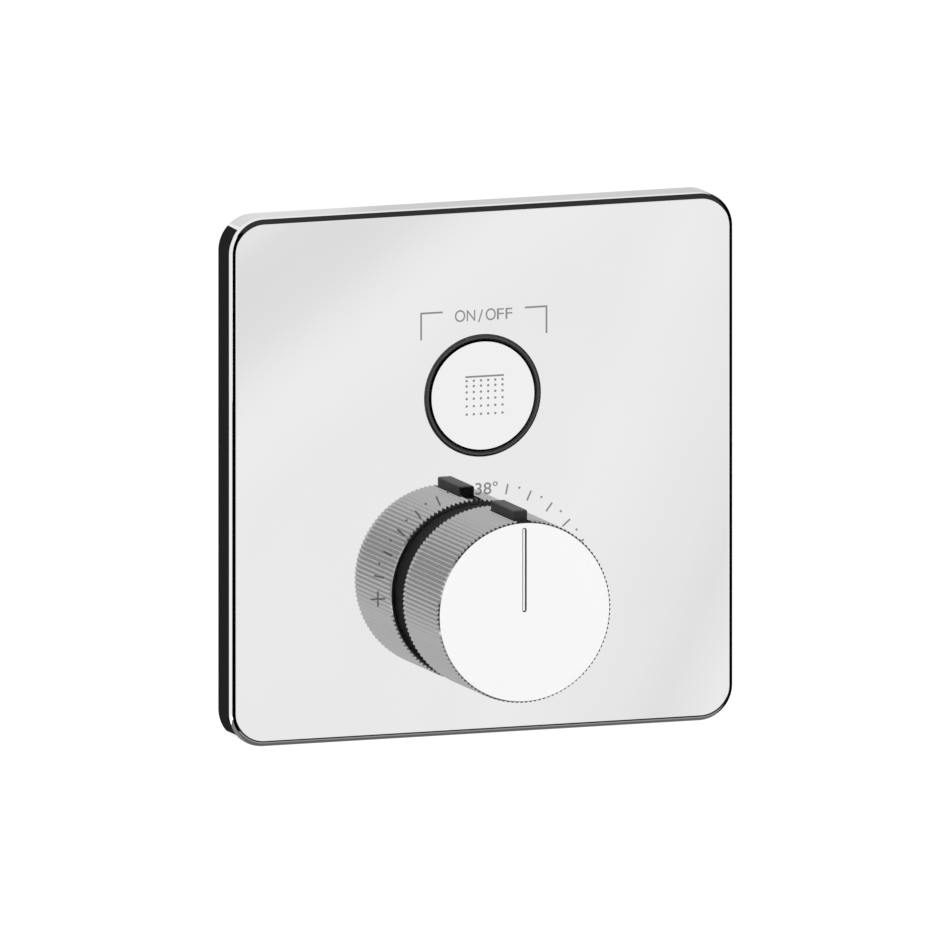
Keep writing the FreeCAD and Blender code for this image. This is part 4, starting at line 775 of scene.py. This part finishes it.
class MIXER_OT_screws(bpy.types.Operator):
    """Cut a cross in the heads of the screws of the carrier and the bracket."""
    bl_idname = "mixer.screws"
    bl_label = "Screws"

    def execute(self, context):
        fittings = context.scene.mixer_fittings
        through = 2 * fittings.cross_depth  # half of it lies outside the head
        across = Vector((fittings.cross_span, through, fittings.cross_width))
        upright = Vector((fittings.cross_width, through, fittings.cross_span))
        for node, front in (("carrier_screws", True), ("bracket_screws", False)):
            low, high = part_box(node)
            reach = high.x - (high.z - low.z) / 2
            screws = copy_node(node)
            for x in (-reach, reach):
                head = Vector((x, low.y if front else high.y, (low.z + high.z) / 2))
                bore(screws, add_block(head, across))
                bore(screws, add_block(head, upright))
            smooth(screws, CUT_SMOOTH)
            hand_over(screws, "cross_" + node, finishes["steel"], "mixer_body")
            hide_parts(node)
        return {"FINISHED"}


# Studio

def direction(azimuth, elevation):
    """The way to a place round the object: azimuth 0 is in front, to the right is positive."""
    level = math.cos(elevation)
    return Vector((math.sin(azimuth) * level, -math.cos(azimuth) * level, math.sin(elevation)))


# Cards round the object: name, azimuth, elevation, width and height in degrees, share of the
# distance, tone in a first reflection and echo, which is the tone in a second one
CARDS = (
    # In front, for the face and the rounded edges of the plate and the flank of the knob
    ("card_front", 20, -9.4, 64, 33, 1, "#FFFFFF", "#A2A2A2"),
    ("flag_left", -36, -5, 50, 100, 1, "#040404", "#E2E2E2"),
    ("flag_right", 102, -5, 104, 100, 1, "#060606", "#E2E2E2"),
    ("flag_top", 20, 50, 120, 86, 1, "#383838", "#E6E6E6"),
    ("flag_foot", 20, -36, 110, 24, 1, "#303030", "#A2A2A2"),
    ("card_foot", 20, -54, 110, 18, 1, "#A0A0A0", "#A2A2A2"),
    ("flag_floor", 20, -85, 130, 50, 1, "#676767", "#A2A2A2"),
    # Nearer, for one side of the pointer
    ("flag_pointer", -61, -13.6, 16.7, 22.8, 0.45, "#040404", "#E2E2E2"),
    # Behind, for the sides of the plate
    ("card_behind_foot", 160, -45, 100, 40, 1, "#8A8A8A", "#8A8A8A"),
    ("flag_behind_left", -160, -5, 60, 60, 0.93, "#262626", "#262626"),
    ("card_behind_right", 158, 8, 66, 50, 1.05, "#D8D8D8", "#D8D8D8"),
    ("card_floor_left", -120, -58, 90, 50, 1.05, "#8A8A8A", "#8A8A8A"),
    ("card_behind_corner", 163, -24, 34, 26, 0.9, "#FFFFFF", "#FFFFFF"),
)

# Soft bands across a card: the way across a band, and its light at distances along it in mm
BAND_REACH = 100
BANDS = {
    "card_front": (
        ((0.619, 0.785, 0), (
            (35, 1.0), (45, 1.021), (55, 1.021), (62, 0.98), (70, 0.913), (76, 0.885),
            (83, 0.876), (90, 0.885), (95, 0.942))),
        ((-0.929, -0.369, 0), (
            (12, 1.0), (24, 1.021), (35, 1.005), (46, 0.981), (57, 0.962), (67, 0.913),
            (75, 0.962), (81, 1.01))),
    ),
    "card_behind_right": (
        ((-1, 0, 0), ((47, 1.0), (59, 1.19))),
    ),
}

FIRST, THIRD = 1.0, 3.0               # depths of a ray after its first and third reflection
THIRD_ECHO = 0.75                     # light of the echo in a third reflection, as a share
ECHO_START, ECHO_FULL = -0.76, -0.84  # y of the way to a card where its echo starts and is full


class MIXER_OT_stage(bpy.types.Operator):
    """Set the cards that the chrome mirrors, the floor, the lamp, the white room and the camera."""
    bl_idname = "mixer.stage"
    bl_label = "Stage"

    def card(self, name, way, width, height, tone, echo, distance):
        """A card that only reflections see: a first one its tone, a second its echo if ahead."""
        bpy.ops.object.select_all(action="DESELECT")
        bpy.ops.mesh.primitive_plane_add(size=1, location=way * distance,
                                         rotation=(-way).to_track_quat("Z", "Y").to_euler())
        card = bpy.context.object
        card.name = name
        card.scale = (2 * distance * math.tan(width / 2), 2 * distance * math.tan(height / 2), 1)
        bpy.ops.object.transform_apply(location=False, rotation=False, scale=True)
        card.visible_camera = False
        card.visible_diffuse = False
        card.visible_transmission = False
        card.visible_shadow = False
        material, tree, shader = new_material(name)
        tree.nodes.remove(shader)
        path = add_node(tree, "ShaderNodeLightPath", {})
        order = add_node(tree, "ShaderNodeMapRange",
                         {"Value": path.outputs["Ray Depth"], "From Min": FIRST, "From Max": THIRD})
        surface = add_node(tree, "ShaderNodeNewGeometry", {})
        bearing = add_node(tree, "ShaderNodeVectorMath", {0: surface.outputs["Position"]},
                           operation="NORMALIZE")
        parts = add_node(tree, "ShaderNodeSeparateXYZ", {"Vector": bearing.outputs["Vector"]})
        ahead = add_node(tree, "ShaderNodeMapRange",
                         {"Value": parts.outputs["Y"], "From Min": ECHO_START,
                          "From Max": ECHO_FULL})
        again = add_node(tree, "ShaderNodeMath",
                         {0: order.outputs["Result"], 1: ahead.outputs["Result"]},
                         operation="MULTIPLY")
        light = add_node(tree, "ShaderNodeValToRGB", {"Fac": again.outputs["Value"]},
                         [(0.0, linear(tone)), (1.0, shade(echo, THIRD_ECHO)), (0.5, linear(echo))])
        glow = add_node(tree, "ShaderNodeEmission", {"Color": light.outputs["Color"]})
        tree.links.new(glow.outputs["Emission"], tree.nodes["Material Output"].inputs["Surface"])
        card.data.materials.append(material)
        return glow

    def bands(self, glow, bands):
        """Soft bands of light across a card."""
        tree = glow.id_data
        place = add_node(tree, "ShaderNodeTexCoord", {})
        strength = 1.0
        for way, levels in bands:
            along = add_node(tree, "ShaderNodeVectorMath", {0: place.outputs["Object"], 1: way},
                             operation="DOT_PRODUCT")
            share = add_node(tree, "ShaderNodeMapRange",
                             {"Value": along.outputs["Value"], "From Max": BAND_REACH * MM})
            light = add_node(tree, "ShaderNodeValToRGB", {"Fac": share.outputs["Result"]},
                             [(mm / BAND_REACH, (level, level, level, 1)) for mm, level in levels])
            both = add_node(tree, "ShaderNodeMath", {0: light.outputs["Color"], 1: strength},
                            operation="MULTIPLY")
            strength = both.outputs["Value"]
        tree.links.new(strength, glow.inputs["Strength"])

    def cards(self, stage):
        """All the cards, some of them with bands."""
        for name, azimuth, elevation, width, height, share, tone, echo in CARDS:
            way = direction(math.radians(azimuth), math.radians(elevation))
            glow = self.card(name, way, math.radians(width), math.radians(height), tone, echo,
                             share * stage.card_distance)
            if name in BANDS:
                self.bands(glow, BANDS[name])

    def floor(self, stage):
        """A wide white floor, well below the object."""
        bpy.ops.object.select_all(action="DESELECT")
        bpy.ops.mesh.primitive_plane_add(size=stage.floor_width,
                                         location=(0, 0, -stage.floor_drop))
        floor = bpy.context.object
        floor.name = "floor"
        material, _, shader = new_material("white_paper")
        shader.inputs["Base Color"].default_value = WHITE
        shader.inputs["Roughness"].default_value = 1.0
        shader.inputs["Specular IOR Level"].default_value = 0.0
        floor.data.materials.append(material)

    def lamp(self, stage):
        """A soft lamp above, which the chrome doesn't mirror."""
        way = direction(stage.lamp_azimuth, stage.lamp_elevation)
        bpy.ops.object.light_add(type="AREA", location=way * stage.lamp_distance,
                                 rotation=way.to_track_quat("Z", "Y").to_euler())
        lamp = bpy.context.object
        lamp.data.energy = stage.lamp_power
        lamp.data.size = stage.lamp_size
        lamp.visible_glossy = False

    def room(self):
        """White surroundings."""
        world = bpy.data.worlds.new("white_room")
        world.use_nodes = True
        background = world.node_tree.nodes["Background"]
        background.inputs["Color"].default_value = WHITE
        background.inputs["Strength"].default_value = 1.0
        return world

    def camera(self, stage):
        """A camera without perspective, as in the photograph."""
        way = direction(stage.azimuth, stage.elevation)
        turn = way.to_track_quat("Z", "Y")
        aim = turn @ Vector((stage.aim_right, stage.aim_up, 0))
        bpy.ops.object.camera_add(location=aim + way * stage.camera_distance,
                                  rotation=turn.to_euler())
        camera = bpy.context.object
        camera.data.type = "ORTHO"
        camera.data.ortho_scale = stage.picture_width
        return camera

    def execute(self, context):
        stage = context.scene.mixer_stage
        self.cards(stage)
        self.floor(stage)
        self.lamp(stage)
        context.scene.world = self.room()
        context.scene.camera = self.camera(stage)
        context.scene.view_settings.view_transform = "Standard"
        return {"FINISHED"}


class MIXER_PT_panel(bpy.types.Panel):
    """Sizes and colours of the mixer, and the steps that dress it."""
    bl_idname = "MIXER_PT_panel"
    bl_label = "Shower mixer"
    bl_space_type = "VIEW_3D"
    bl_region_type = "UI"
    bl_category = "Shower mixer"

    def draw(self, context):
        for step in STEPS:
            self.layout.operator(step.bl_idname)
        for group, kind in GROUPS.items():
            box = self.layout.box()
            for key in kind.__annotations__:
                box.prop(getattr(context.scene, group), key)


GROUPS = {
    "mixer_plate": MixerPlate,
    "mixer_print": MixerPrint,
    "mixer_sign": MixerSign,
    "mixer_fittings": MixerFittings,
    "mixer_colours": MixerColours,
    "mixer_stage": MixerStage,
}
STEPS = (
    MIXER_OT_finishes,
    MIXER_OT_cover_plate,
    MIXER_OT_plate_print,
    MIXER_OT_button_sign,
    MIXER_OT_unions,
    MIXER_OT_screws,
    MIXER_OT_stage,
)


def register():
    for kind in (*GROUPS.values(), *STEPS, MIXER_PT_panel):
        bpy.utils.register_class(kind)
    for group, kind in GROUPS.items():
        setattr(bpy.types.Scene, group, bpy.props.PointerProperty(type=kind))


def unregister():
    for group in GROUPS:
        delattr(bpy.types.Scene, group)
    for kind in (MIXER_PT_panel, *reversed(STEPS), *reversed(GROUPS.values())):
        bpy.utils.unregister_class(kind)


def main():
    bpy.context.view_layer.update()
    register()
    bpy.ops.mixer.finishes()
    bpy.ops.mixer.cover_plate()
    bpy.ops.mixer.plate_print()
    bpy.ops.mixer.button_sign()
    bpy.ops.mixer.unions()
    bpy.ops.mixer.screws()
    bpy.ops.mixer.stage()


if __name__ == "__main__":
    main()
